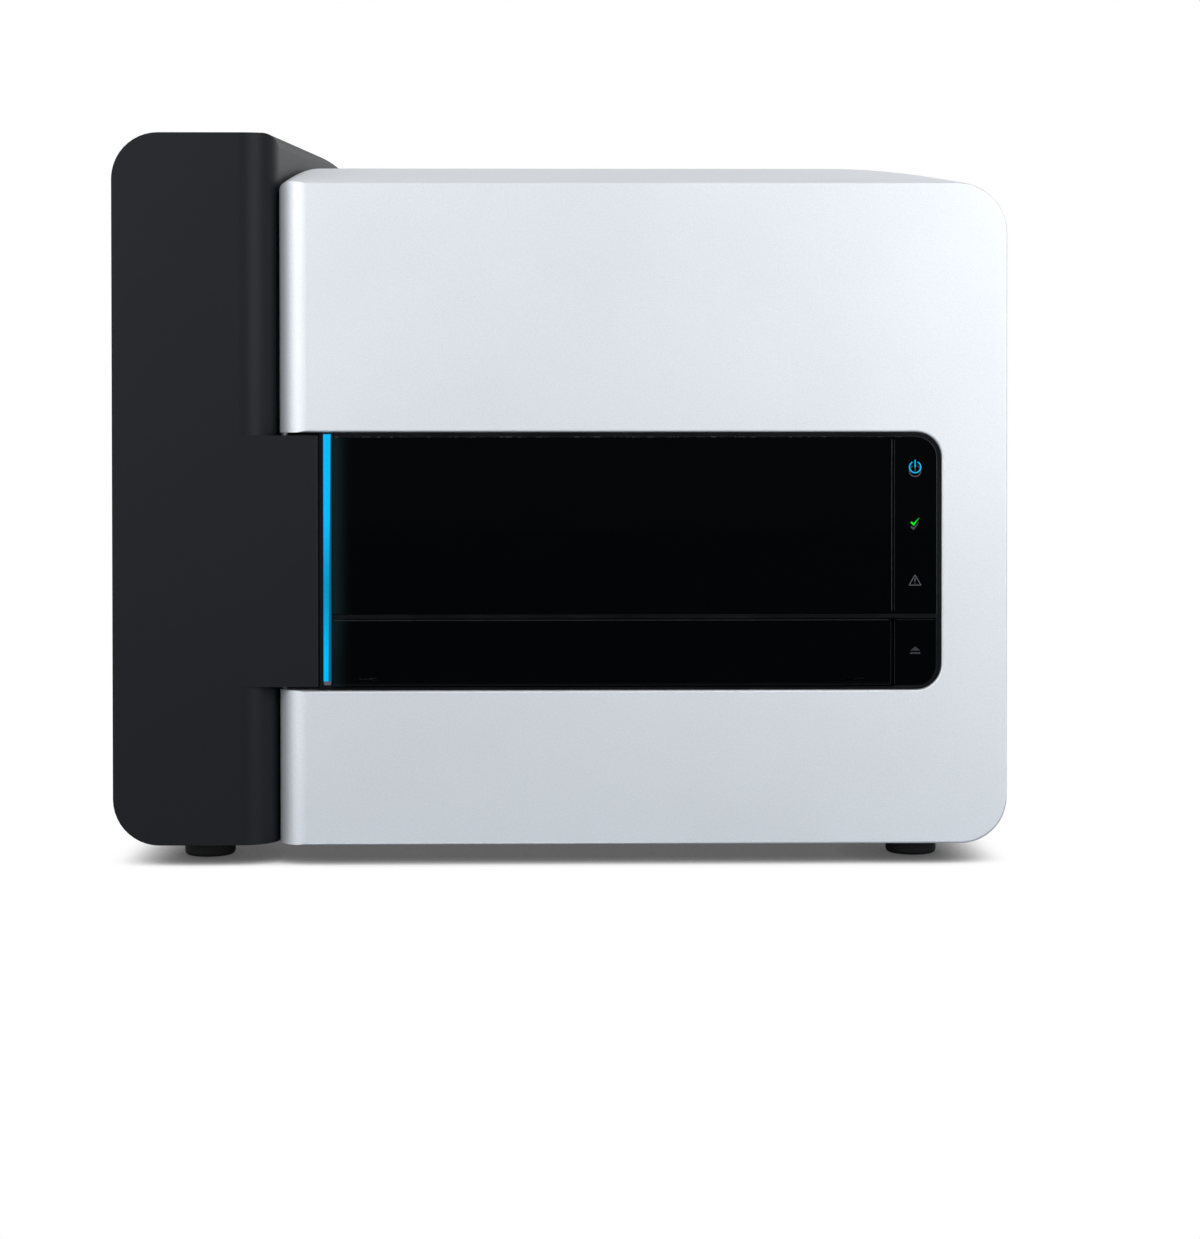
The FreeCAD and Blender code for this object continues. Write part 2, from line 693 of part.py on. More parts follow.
def tray_door():
    """A drop-down flap whose rounded lower edge turns about its own pins."""
    body = new_body("tray_door")
    front, back = f"{FRONT} + door_set", f"{FRONT} + door_set + door_thick"
    pad(body, "X", GLASS_LEFT, DOOR_RIGHT, [
        (front, DOOR_LOW, "door_thick * 0.499"), (back, DOOR_LOW, "door_thick * 0.499"), (back, DOOR_HIGH),
        (front, DOOR_HIGH, "0.8")])
    for x in knuckle_places():
        pocket(body, "X", f"{x} - seam_gap", f"{x} + knuckle_wide + seam_gap", oblong(
            f"{FRONT} - 1", f"{FRONT} + door_set + door_thick + 1", f"{DOOR_LOW} - 1",
            f"{DOOR_LOW} + door_thick + 1.2"))
        pocket(body, "X", f"{x} - 6", f"{x} + knuckle_wide + 6", disc(HINGE_Y, HINGE_Z, "pin_wide + 0.1"))
    return finished(body)


def door_hinges():
    """Two knuckles on arms from the frame, and the pins through them."""
    arms, pins = [], []
    for number, x in enumerate(knuckle_places(), 1):
        end = f"{x} + knuckle_wide"
        barrel = rod("X", (HINGE_Y, HINGE_Z), x, end, "door_thick")
        arm = block(x, end, HINGE_Y, f"{FRONT} + recess_deep + 4", DOOR_LOW, HINGE_Z)
        bore = rod("X", (HINGE_Y, HINGE_Z), f"{x} - 1", f"{end} + 1", "pin_wide + 0.02")
        arms.append(remove(f"door_bracket_{number}", join(f"door_bracket_{number}_blank", [barrel, arm]),
            [bore]))
        pins.append(rod("X", (HINGE_Y, HINGE_Z), f"{x} - 5", f"{end} + 5", "pin_wide", "door_pin"))
    finished(together("door_brackets", arms))
    finished(together("door_pins", pins))


BUTTON_X = f"(({COLUMN_LEFT} + {COLUMN_RIGHT}) / 2)"
BUTTON_Z = f"(({DOOR_LOW} + {DOOR_HIGH}) / 2)"
BUTTON_BACK = f"({FRONT} + door_set + door_thick)"
COLLAR_FRONT = f"({FRAME_BACK} + 0.1)"
COLLAR_BACK = f"({COLLAR_FRONT} + collar_thick)"
SPRING_BACK = f"({COLLAR_BACK} + spring_free)"


def eject_button():
    body = new_body("eject_button")
    points = corner_piece(COLUMN_LEFT, COLUMN_RIGHT, DOOR_LOW, DOOR_HIGH, "low", f"{INNER_ROUND} - {GAP}")
    pad(body, "Y", f"{FRONT} + door_set", BUTTON_BACK, points)
    front = value(f"{FRONT} + door_set")
    fillet(body, "0.8", lambda b, e: b.YMax < front + 0.01)
    for wide, low, high in (("stem_wide", f"{BUTTON_BACK} - 1", COLLAR_BACK),
            ("collar_wide", COLLAR_FRONT, COLLAR_BACK)):
        pad(body, "Y", low, high, disc(BUTTON_X, BUTTON_Z, wide))
    finished(body)
    board = [block(f"{COLUMN_LEFT} - 2", f"{COLUMN_RIGHT} + 4", SPRING_BACK, f"{SPRING_BACK} + 1.6",
                   DOOR_LOW, f"{GLASS_HIGH} + 2")]
    board += [rod("Y", (f"{COLUMN_RIGHT} + 1", z), FRAME_BACK, SPRING_BACK, "4")
              for z in (f"{DOOR_LOW} + 3", f"{GLASS_HIGH} - 2")]
    board += [block(f"{BUTTON_X} - 2.5", f"{BUTTON_X} + 2.5", f"{SPRING_BACK} - 3", SPRING_BACK,
                    f"{GLASS_LOW} + {z} - 2.5", f"{GLASS_LOW} + {z} + 2.5") for z in ICON_PLACES]
    finished(join("status_board", board))
    switch_top = f"{COLLAR_BACK} + button_travel + 0.1"
    finished(join("eject_switch", [
        rod("Y", (BUTTON_X, BUTTON_Z), switch_top, f"{SPRING_BACK} - 1.9", "2.4"),
        rod("Y", (BUTTON_X, BUTTON_Z), f"{SPRING_BACK} - 2", SPRING_BACK, "5")]))
    finished(eject_spring())
    finished(join("light_board", [
        block(f"{LIGHT_LEFT} - 4", f"{LIGHT_RIGHT} + 4", f"{FRAME_BACK} + 2.1", f"{FRAME_BACK} + 3.7",
              "window_low + 2", "window_high - 2"),
        *[block(f"{LIGHT_LEFT} - 3.5", f"{LIGHT_LEFT} - 1", FRAME_BACK, f"{FRAME_BACK} + 2.1", z, f"{z} + 5")
          for z in ("window_low + 4", "window_high - 9")]]))


def eject_spring():
    """A coil of eight-sided wire between the button's collar and its board."""
    wire, turns, sides = 0.6, 4, 8
    coil = value("collar_wide") / 2 - 1
    low, free = value(f"{COLLAR_BACK} + 0.05"), value("spring_free") - 0.1
    path = Part.makeHelix((free - wire) / turns, free - wire, coil)
    angles = [2 * math.pi * side / sides for side in range(sides)]
    corners = [V(coil + wire / 2 * math.cos(angle), 0, wire / 2 * math.sin(angle)) for angle in angles]
    ring = Part.makePolygon(corners + corners[:1])
    part = doc.addObject("Part::Feature", "eject_spring")
    part.Shape = Part.Wire(path).makePipeShell([ring], True, True)
    where = V(value(BUTTON_X), low + wire / 2, value(BUTTON_Z))
    part.Placement = FreeCAD.Placement(where, TURNS["Y"])
    return part


# Rear: panels with punched vents, fan, inlet and ports


def vents(body, x0, count, pitch, z0, z1):
    """A row of punched upright slots."""
    feature = pocket(body, "Y", f"{REAR_INSIDE} - 1", f"{REAR_SKIN} + 1",
                     oblong(x0, f"{x0} + 4", z0, z1))
    row = body.newObject("PartDesign::LinearPattern", f"{body.Label}_row")
    row.Originals = [feature]
    row.Direction = (feature.Profile[0], ["H_Axis"])
    row.Length = (count - 1) * pitch
    row.Occurrences = count
    settle(body, row)


def main_rear_panel():
    body = new_body("main_rear_panel")
    gap = "(shell_wall + panel_ease)"
    pad(body, "Y", REAR_INSIDE, REAR_SKIN, [
        (f"{SILVER_LEFT} + {gap}", f"foot_high + {gap}"),
        (f"{RIGHT} - {gap}", f"foot_high + {gap}", f"corner_low - {gap}"),
        (f"{RIGHT} - {gap}", f"silver_rear_high - {gap}", f"corner_rear - {gap}"),
        (f"{SILVER_LEFT} + {gap}", f"silver_rear_high - {gap}", f"inner_corner - {gap}")])
    pocket(body, "Y", f"{REAR_INSIDE} - 1", f"{REAR_SKIN} + 1",
           *[disc(x, z, "screw_shank + 0.2") for x, z in rear_screw_places("main")])
    for z in ("80", "300"):
        vents(body, f"{SILVER_LEFT} + 60", 28, 10, z, f"{z} + 60")
    return finished(body)


FAN_Z = "(fan_high)"


def side_rear_panel():
    body = new_body("side_rear_panel")
    gap = "(shell_wall + panel_ease)"
    left, right = f"{LEFT} + {gap}", f"{MODULE_RIGHT} - {gap}"
    pad(body, "Y", REAR_INSIDE, REAR_SKIN, [
        (left, f"foot_high + {gap}", f"side_corner - {gap}"), (right, f"foot_high + {gap}"),
        (right, f"side_crest_high - {gap}", f"side_brow - {gap}"),
        (left, f"side_crest_high - {gap}", f"side_corner - {gap}")])
    low, high = f"{REAR_INSIDE} - 1", f"{REAR_SKIN} + 1"
    pocket(body, "Y", low, high, *[disc(x, z, "screw_shank + 0.2") for x, z in rear_screw_places("side")])
    slots, reach = 4, value("fan_wide") / 2 - 3
    for step in range(-slots, slots + 1):
        rise = step * reach / (slots + 0.6)
        half = round(math.sqrt(reach ** 2 - rise ** 2) / value("fan_wide"), 3)
        pocket(body, "Y", low, high, oblong(
            f"{SIDE_X} - fan_wide * {half}", f"{SIDE_X} + fan_wide * {half}",
            f"{FAN_Z} + {round(rise, 2)} - 2", f"{FAN_Z} + {round(rise, 2)} + 2"))
    for z, wide, tall in (("inlet_high", "27.4", "19.4"), ("switch_high", "21.4", "27.4"),
            ("ports_high", "44", "20")):
        pocket(body, "Y", low, high, oblong(f"{SIDE_X} - {wide} / 2", f"{SIDE_X} + {wide} / 2",
                                            f"{z} - {tall} / 2", f"{z} + {tall} / 2"))
    return finished(body)


def fan():
    """Axial fan: a square frame with a round duct, struts and hub, and a rotor of pitched blades."""
    back, front = REAR_INSIDE, f"({REAR_INSIDE} - fan_deep)"
    body = new_body("fan_frame")
    half = "(fan_wide / 2)"
    pad(body, "Y", front, back,
        oblong(f"{SIDE_X} - {half}", f"{SIDE_X} + {half}", f"{FAN_Z} - {half}", f"{FAN_Z} + {half}", "4"))
    duct = "(fan_wide / 2 - 2)"
    pocket(body, "Y", f"{front} - 1", f"{back} + 1", disc(SIDE_X, FAN_Z, f"2 * {duct}"))
    pad(body, "Y", front, f"{front} + 4", disc(SIDE_X, FAN_Z, "hub_wide"))
    for x, z in ((duct, "1.5"), ("1.5", duct)):
        pad(body, "Y", front, f"{front} + 3",
            oblong(f"{SIDE_X} - {x}", f"{SIDE_X} + {x}", f"{FAN_Z} - {z}", f"{FAN_Z} + {z}"))
    for x, z in ((-1, -1), (-1, 1), (1, -1), (1, 1)):
        cx, cz = f"{SIDE_X} + {x} * ({half} - 4.5)", f"{FAN_Z} + {z} * ({half} - 4.5)"
        pocket(body, "Y", f"{front} - 1", f"{back} + 1", disc(cx, cz, "4"))
    finished(body)
    centre = V(value(SIDE_X), 0, value(FAN_Z))
    low, high = value(f"{front} + 4.6"), value(f"{back} - 2")
    hub = value("hub_wide / 2")
    rotor = Part.makeCylinder(hub, high - low, V(centre.x, low, centre.z), V(0, 1, 0))
    blade = blade_shape(low + 1, high - 1, hub - 1, value(duct) - 3.5)
    blade.translate(V(centre.x, 0, centre.z))
    blades = []
    for turn in range(int(value("blade_count"))):
        copy = blade.copy()
        copy.rotate(V(centre.x, 0, centre.z), V(0, 1, 0), turn * 360 / value("blade_count"))
        blades.append(copy)
    part = doc.addObject("Part::Feature", "fan_rotor")
    part.Shape = rotor.fuse(blades)
    part.Placement = FreeCAD.Placement()
    finished(part)


def blade_shape(low, high, inner, outer):
    """One blade: a slanted plate lofted from its root to a wider, flatter tip."""
    sections = []
    for reach, slant, spread in ((inner, 0.5, 8), (outer, 0.85, 20)):
        rise = (high - low) * (1 - slant * 0.35)
        middle = (low + high) / 2
        a, b = V(-spread / 2, middle - rise / 2, reach), V(spread / 2, middle + rise / 2, reach)
        thick = V(1.1, 0, 0)
        sections.append(Part.makePolygon([a, b, b + thick, a + thick, a]))
    return Part.makeLoft(sections, True, True)


def power_entry():
    """Inlet with three blades in a deep socket, and the switch above it."""
    x, z = SIDE_X, "inlet_high"
    blank = [block(f"{x} - 13.5", f"{x} + 13.5", f"{REAR_SKIN} - 24", REAR_SKIN, f"{z} - 9.5", f"{z} + 9.5"),
             block(f"{x} - 25", f"{x} + 25", REAR_SKIN, f"{REAR_SKIN} + 2.4", f"{z} - 11.2", f"{z} + 11.2")]
    socket = block(f"{x} - 12", f"{x} + 12", f"{REAR_SKIN} - 16", f"{REAR_SKIN} + 4", f"{z} - 8", f"{z} + 8")
    body = remove("inlet_blank", join("inlet_outside", blank), [socket])
    pins = [block(f"{x} + {dx} - 1", f"{x} + {dx} + 1", f"{REAR_SKIN} - 17", f"{REAR_SKIN} - 5",
                  f"{z} + {dz} - 2", f"{z} + {dz} + 2") for dx, dz in ((-7, -2), (0, 2), (7, -2))]
    finished(join("power_inlet", [body, *pins]))
    z = "switch_high"
    blank = [block(f"{x} - 10.5", f"{x} + 10.5", f"{REAR_SKIN} - 18", REAR_SKIN,
        f"{z} - 13.5", f"{z} + 13.5"),
             block(f"{x} - 12.5", f"{x} + 12.5", REAR_SKIN, f"{REAR_SKIN} + 1.6",
                 f"{z} - 15.5", f"{z} + 15.5")]
    well = block(f"{x} - 8.2", f"{x} + 8.2", f"{REAR_SKIN} - 13", f"{REAR_SKIN} + 3",
        f"{z} - 11.5", f"{z} + 11.5")
    pins = [rod("X", (f"{REAR_SKIN} - 6", z), f"{x} + {a}", f"{x} + {b}", "3") for a, b in ((-9, -7), (7, 9))]
    finished(join("power_switch_frame",
        [remove("switch_shell", join("switch_outside", blank), [well]), *pins]))
    body = new_body("power_rocker")
    y = REAR_SKIN
    pad(body, "X", f"{x} - 7.8", f"{x} + 7.8", [
        (f"{y} - 9", f"{z} - 4"), (f"{y} - 3", f"{z} - 9.8"), (f"{y} + 1", f"{z} - 10"), (f"{y} - 0.8", z),
        (f"{y} + 3.2", f"{z} + 9.4"), (f"{y} - 2", f"{z} + 10"), (f"{y} - 9", f"{z} + 4")])
    for a, b in ((f"{x} - 9", f"{x} - 6.7"), (f"{x} + 6.7", f"{x} + 9")):
        pocket(body, "X", a, b, disc(f"{y} - 6", z, "3.2"))
    finished(body)


def data_ports():
    x, z = SIDE_X, "ports_high"
    blank = block(f"{x} - 21.6", f"{x} + 21.6", f"{REAR_SKIN} - 22", f"{REAR_SKIN} + 1",
        f"{z} - 9.6", f"{z} + 9.6")
    square = block(f"{x} - 16", f"{x} - 4.3", f"{REAR_SKIN} - 15", f"{REAR_SKIN} + 2", f"{z} - 4", f"{z} + 4")
    upright = block(f"{x} + 5", f"{x} + 13.5", f"{REAR_SKIN} - 14", f"{REAR_SKIN} + 2",
        f"{z} - 4", f"{z} + 4")
    tongue = block(f"{x} + 6.4", f"{x} + 12.1", f"{REAR_SKIN} - 15", f"{REAR_SKIN} - 6",
        f"{z} - 1.6", f"{z} + 1.6")
    shell = remove("ports_shell", blank, [square, upright])
    finished(join("data_ports", [shell, tongue]))


def rear_screw_places(bay):
    if bay == "main":
        return [(x, z) for z in ("60", "210", "360") for x in (f"({SILVER_LEFT} + 12)", f"({RIGHT} - 13)")]
    return [(x, z) for z in ("130", "220") for x in (f"({LEFT} + 11)", f"({MODULE_RIGHT} - 11)")]


def rear_screws():
    screws = []
    for x, z in rear_screw_places("main") + rear_screw_places("side"):
        head = rod("Y", (x, z), REAR_SKIN, f"{REAR_SKIN} + 2.4", "screw_head", tip="screw_head - 2.4")
        shank = rod("Y", (x, z), f"{REAR_INSIDE} - 4", REAR_SKIN, "screw_shank")
        screws.append(join("rear_screw", [head, shank]))
    finished(together("rear_screws", screws))


# Main bay: bench, loader, scan bridge, head and optics


def optical_bench():
    body = new_body("optical_bench")
    x0, x1 = f"{SILVER_LEFT} + bench_inset", f"{RIGHT} - corner_low - 5"
    y0, y1 = f"{FRONT} + bench_back", f"{FRONT} + bench_back + bench_long"
    pad(body, "Z", BENCH_LOW, BENCH_TOP, oblong(x0, x1, y0, y1, "18"))
    pocket(body, "Z", f"{BENCH_LOW} - 1", f"{BENCH_TOP} - 6",
           *[oblong(a, b, c, d, "8") for a, b in ((f"{x0} + 40", "tray_x - 42"),
               ("tray_x + 42", f"{x1} - 40"))
             for c, d in ((f"{y0} + 30", f"{y0} + 190"), (f"{y0} + 215", f"{y1} - 40"))])
    pocket(body, "Z", f"{BENCH_LOW} - 1", f"{BENCH_TOP} + 1", disc("tray_x", MOTOR_Y, "boss_wide + 2"))
    finished(body)
    mounts = []
    for x in (f"({x0} + 34)", f"({x1} - 34)"):
        for y in (f"({y0} + 40)", f"({y1} - 20)"):
            mounts.append(join("bench_mount", [
                rod("Z", (x, y), FLOOR, f"{FLOOR} + 8", "26", tip="20"),
                rod("Z", (x, y), f"{FLOOR} + 8", f"{BENCH_LOW} - 8", "20"),
                rod("Z", (x, y), f"{BENCH_LOW} - 8", BENCH_LOW, "20", tip="26")]))
    finished(together("bench_mounts", mounts))


MOTOR_Y = f"({FRONT} + motor_back)"
IDLER_Y = f"({FRONT} + idler_back)"
BELT_LOW = f"({BENCH_TOP} + belt_rise)"


def rail_places():
    return ("(tray_x - rail_apart / 2)", "(tray_x + rail_apart / 2)")


def loader():
    """Slide tray on a carriage that runs on two rails, pulled by a toothed belt."""
    rails, blocks = [], []
    for x in rail_places():
        half = "(rail_wide / 2)"
        rail = new_body("loader_rail")
        pad(rail, "Y", f"{FRONT} + 63", f"{CARRIAGE_REAR} + 20", [
            (f"{x} - {half}", BENCH_TOP), (f"{x} + {half}", BENCH_TOP), (f"{x} + {half}", f"{BENCH_TOP} + 4"),
            (f"{x} + {half} - 2", f"{BENCH_TOP} + 6"), (f"{x} + {half}", f"{BENCH_TOP} + 8"),
            (f"{x} + {half}", RAIL_TOP),
            (f"{x} - {half}", RAIL_TOP), (f"{x} - {half}", f"{BENCH_TOP} + 8"),
            (f"{x} - {half} + 2", f"{BENCH_TOP} + 6"),
            (f"{x} - {half}", f"{BENCH_TOP} + 4")])
        rails.append(rail)
        for y in (f"({CARRIAGE_FRONT} + 3)", f"({CARRIAGE_REAR} - 3 - block_long)"):
            runner = new_body("loader_block")
            reach, gap = "(block_wide / 2)", "run_gap"
            pad(runner, "Y", y, f"{y} + block_long", [
                (f"{x} - {reach}", f"{BENCH_TOP} + 3"), (f"{x} - {half} - {gap}", f"{BENCH_TOP} + 3"),
                (f"{x} - {half} - {gap}", f"{RAIL_TOP} + {gap}"),
                (f"{x} + {half} + {gap}", f"{RAIL_TOP} + {gap}"),
                (f"{x} + {half} + {gap}", f"{BENCH_TOP} + 3"), (f"{x} + {reach}", f"{BENCH_TOP} + 3"),
                (f"{x} + {reach}", CARRIAGE_LOW), (f"{x} - {reach}", CARRIAGE_LOW)])
            blocks.append(runner)
    finished(together("loader_rails", rails))
    finished(together("loader_blocks", blocks))
    body = new_body("loader_carriage")
    plate_top = f"{CARRIAGE_LOW} + carriage_plate"
    pad(body, "Z", CARRIAGE_LOW, plate_top, oblong(
        "tray_x - rail_apart / 2 - 20", "tray_x + rail_apart / 2 + 20", CARRIAGE_FRONT, CARRIAGE_REAR, "5"))
    for side in ("-", "+"):
        x = f"(tray_x {side} (neck_wide / 2 - 14))"
        pad(body, "Z", f"{CARRIAGE_LOW} + 4", TRAY_LOW, oblong(
            f"{x} - web_thick / 2", f"{x} + web_thick / 2", f"{CARRIAGE_FRONT} + 6", f"{CARRIAGE_REAR} - 6"))
        pocket(body, "X", f"{x} - web_thick", f"{x} + web_thick", oblong(
            f"{CARRIAGE_FRONT} + 20", f"{CARRIAGE_REAR} - 20", f"{plate_top} + 8", f"{TRAY_LOW} - 8", "6"))
    clamp = "(pulley_wide / 2)"
    pad(body, "Z", BELT_LOW, f"{CARRIAGE_LOW} + 2", oblong(
        f"tray_x + {clamp} + belt_thick + 0.1", f"tray_x + {clamp} + belt_thick + 8",
        f"{CARRIAGE_FRONT} + 25", f"{CARRIAGE_FRONT} + 55"))
    finished(body)
    slide_tray()
    belt_drive()


def slide_places():
    for number in range(4):
        yield f"(tray_x + ({number} - 1.5) * slide_pitch)"


def slide_tray():
    """A tray with four seats for glass slides, and a leaf spring at the end of each."""
    body = new_body("slide_tray")
    half, neck = "(tray_wide / 2)", "(neck_wide / 2)"
    front, step = TRAY_FRONT, f"({TRAY_FRONT} + tray_front_long)"
    pad(body, "Z", TRAY_LOW, TRAY_TOP, [
        (f"tray_x - {half}", front, "4"), (f"tray_x + {half}", front, "4"), (f"tray_x + {half}", step, "10"),
        (f"tray_x + {neck}", step, "10"), (f"tray_x + {neck}", f"{front} + tray_long", "6"),
        (f"tray_x - {neck}", f"{front} + tray_long", "6"), (f"tray_x - {neck}", step, "10"),
        (f"tray_x - {half}", step, "10")])
    springs = []
    for x in slide_places():
        left, right = f"{x} - slide_wide / 2", f"{x} + slide_wide / 2"
        pocket(body, "Z", f"{TRAY_TOP} - slide_deep", f"{TRAY_TOP} + 1", oblong(
            left, right, f"{front} + 8", f"{front} + 8 + slide_long"))
        pocket(body, "Z", f"{TRAY_LOW} - 1", f"{TRAY_TOP} + 1", oblong(
            f"{left} + 3", f"{right} - 3", f"{front} + 16", f"{front} + slide_long - 6", "3"))
        leaf = new_body("slide_spring")
        y, low = f"({front} + 8 + slide_long)", TRAY_TOP
        pad(leaf, "X", f"{x} - 5", f"{x} + 5", [
            (f"{y} - 4", f"{low} + 0.3"), (f"{y} + 3", low), (f"{y} + 14", low),
            (f"{y} + 14", f"{low} + 0.5"),
            (f"{y} + 3", f"{low} + 0.5"), (f"{y} - 4", f"{low} + 0.8")])
        springs.append(leaf)
    finished(body)
    finished(together("slide_springs", springs))


def belt_drive():
    """Motor under the bench, two pulleys and the belt round them."""
    for label, y, low in (("drive_pulley", MOTOR_Y, f"({BENCH_LOW} + 0.3)"),
            ("idler_pulley", IDLER_Y, f"({BELT_LOW} - 2)")):
        wide = "(pulley_wide - 0.1)"
        parts = [rod("Z", ("tray_x", y), BELT_LOW, f"{BELT_LOW} + belt_high", wide),
                 rod("Z", ("tray_x", y), f"{BELT_LOW} - 1.6", f"{BELT_LOW} - 0.3", "pulley_wide + 4"),
                 rod("Z", ("tray_x", y), f"{BELT_LOW} + belt_high + 0.3",
                     f"{BELT_LOW} + belt_high + 1.6", "pulley_wide + 4"),
                 rod("Z", ("tray_x", y), f"{BELT_LOW} - 1.6",
                     f"{BELT_LOW} + belt_high + 1.6", "pulley_wide - 3"),
                 rod("Z", ("tray_x", y), low, f"{BELT_LOW} + belt_high + 2", "shaft_wide")]
        finished(join(label, parts))
    bore = rod("Z", ("tray_x", IDLER_Y), f"{BENCH_TOP} + 0.3", f"{BELT_LOW} - 1.8", "shaft_wide + 0.04")
    finished(remove("idler_post", rod("Z", ("tray_x", IDLER_Y), BENCH_TOP, f"{BELT_LOW} - 1.8", "12"),
        [bore]))
    rings = []
    for number, wide in enumerate(("(pulley_wide + 2 * belt_thick)", "pulley_wide")):
        reach = f"({wide}) / 2"
        rings.append(join(f"belt_ring_{number}", [
            block(f"tray_x - {reach}", f"tray_x + {reach}", IDLER_Y, MOTOR_Y, BELT_LOW,
                f"{BELT_LOW} + belt_high"),
            *[rod("Z", ("tray_x", y), BELT_LOW, f"{BELT_LOW} + belt_high",
                wide) for y in (IDLER_Y, MOTOR_Y)]]))
    finished(remove("loader_belt", rings[0], [rings[1]]))
    half = "(motor_wide / 2)"
    body = new_body("loader_motor")
    pad(body, "Z", f"{BENCH_LOW} - motor_long", BENCH_LOW, [
        (f"tray_x - {half}", f"{MOTOR_Y} - {half}", "4"), (f"tray_x + {half}", f"{MOTOR_Y} - {half}", "4"),
        (f"tray_x + {half}", f"{MOTOR_Y} + {half}", "4"), (f"tray_x - {half}", f"{MOTOR_Y} + {half}", "4")])
    pad(body, "Z", f"{BENCH_LOW} - 1", f"{BENCH_LOW} + 2", disc("tray_x", MOTOR_Y, "boss_wide"))
    pocket(body, "Z", f"{BENCH_LOW} - 10", f"{BENCH_LOW} + 3", disc("tray_x", MOTOR_Y, "shaft_wide + 0.1"))
    finished(body)


BRIDGE_LEFT = "(tray_x - bridge_wide / 2)"
BRIDGE_RIGHT = "(tray_x + bridge_wide / 2)"
SCREW_X = f"({BRIDGE_RIGHT} + 22)"
SCREW_Z = f"({HEAD_LOW} + head_thick / 2)"


def scan_bridge():
    """Two cheek plates and two cross ties over the tray, with a rail on each cheek."""
    body = new_body("scan_bridge")
    cheeks = ((BRIDGE_LEFT, f"{BRIDGE_LEFT} + bridge_thick"),
        (f"{BRIDGE_RIGHT} - bridge_thick", BRIDGE_RIGHT))
    pad(body, "Y", f"{BRIDGE_REAR} - bridge_thick", BRIDGE_REAR, [
        (BRIDGE_LEFT, BENCH_TOP), (f"{BRIDGE_LEFT} + bridge_thick", BENCH_TOP),
        (f"{BRIDGE_LEFT} + bridge_thick", f"{TRAY_TOP} + 12", "12"),
        (f"{BRIDGE_RIGHT} - bridge_thick", f"{TRAY_TOP} + 12", "12"),
        (f"{BRIDGE_RIGHT} - bridge_thick", BENCH_TOP), (BRIDGE_RIGHT, BENCH_TOP),
        (BRIDGE_RIGHT, "bridge_high"),
        (BRIDGE_LEFT, "bridge_high")])
    for a, b in cheeks:
        pad(body, "X", a, b, [
            (BRIDGE_FRONT, BENCH_TOP), (f"{BRIDGE_FRONT} + 30", BENCH_TOP),
            (f"{BRIDGE_FRONT} + 50", f"{BENCH_TOP} + 40", "12"),
            (f"{BRIDGE_REAR} - 40", f"{BENCH_TOP} + 40", "12"), (f"{BRIDGE_REAR} - 20", BENCH_TOP),
            (BRIDGE_REAR, BENCH_TOP),
            (BRIDGE_REAR, "bridge_high"), (BRIDGE_FRONT, "bridge_high")])
    pad(body, "Y", BRIDGE_FRONT, f"{BRIDGE_FRONT} + bridge_thick", oblong(
        BRIDGE_LEFT, BRIDGE_RIGHT, f"{TRAY_TOP} + 14", "bridge_high"))
    pad(body, "X", f"{BRIDGE_RIGHT} - 1", f"{SCREW_X} + 22", oblong(
        f"{BRIDGE_REAR} - bridge_thick", BRIDGE_REAR, f"{SCREW_Z} - 23", f"{SCREW_Z} + 22", "3"))
    pad(body, "X", f"{BRIDGE_RIGHT} - 1", f"{SCREW_X} + 8", oblong(
        BRIDGE_FRONT, f"{BRIDGE_FRONT} + 8", "bridge_high - 20", f"{SCREW_Z} + 9", "3"))
    for low, high in ((f"{BRIDGE_FRONT} - 1", f"{BRIDGE_FRONT} + 9"),
                      (f"{BRIDGE_REAR} - bridge_thick - 1", f"{BRIDGE_REAR} + 1")):
        pocket(body, "Y", low, high, disc(SCREW_X, SCREW_Z, "screw_wide + 0.1"))
    finished(body)
    rails = [block(f"{x} - 5", f"{x} + 5", f"{BRIDGE_FRONT} + 2", f"{BRIDGE_REAR} - 2",
        "bridge_high", "bridge_high + 9")
             for x in (f"({BRIDGE_LEFT} + bridge_thick / 2)", f"({BRIDGE_RIGHT} - bridge_thick / 2)")]
    finished(together("head_rails", rails))


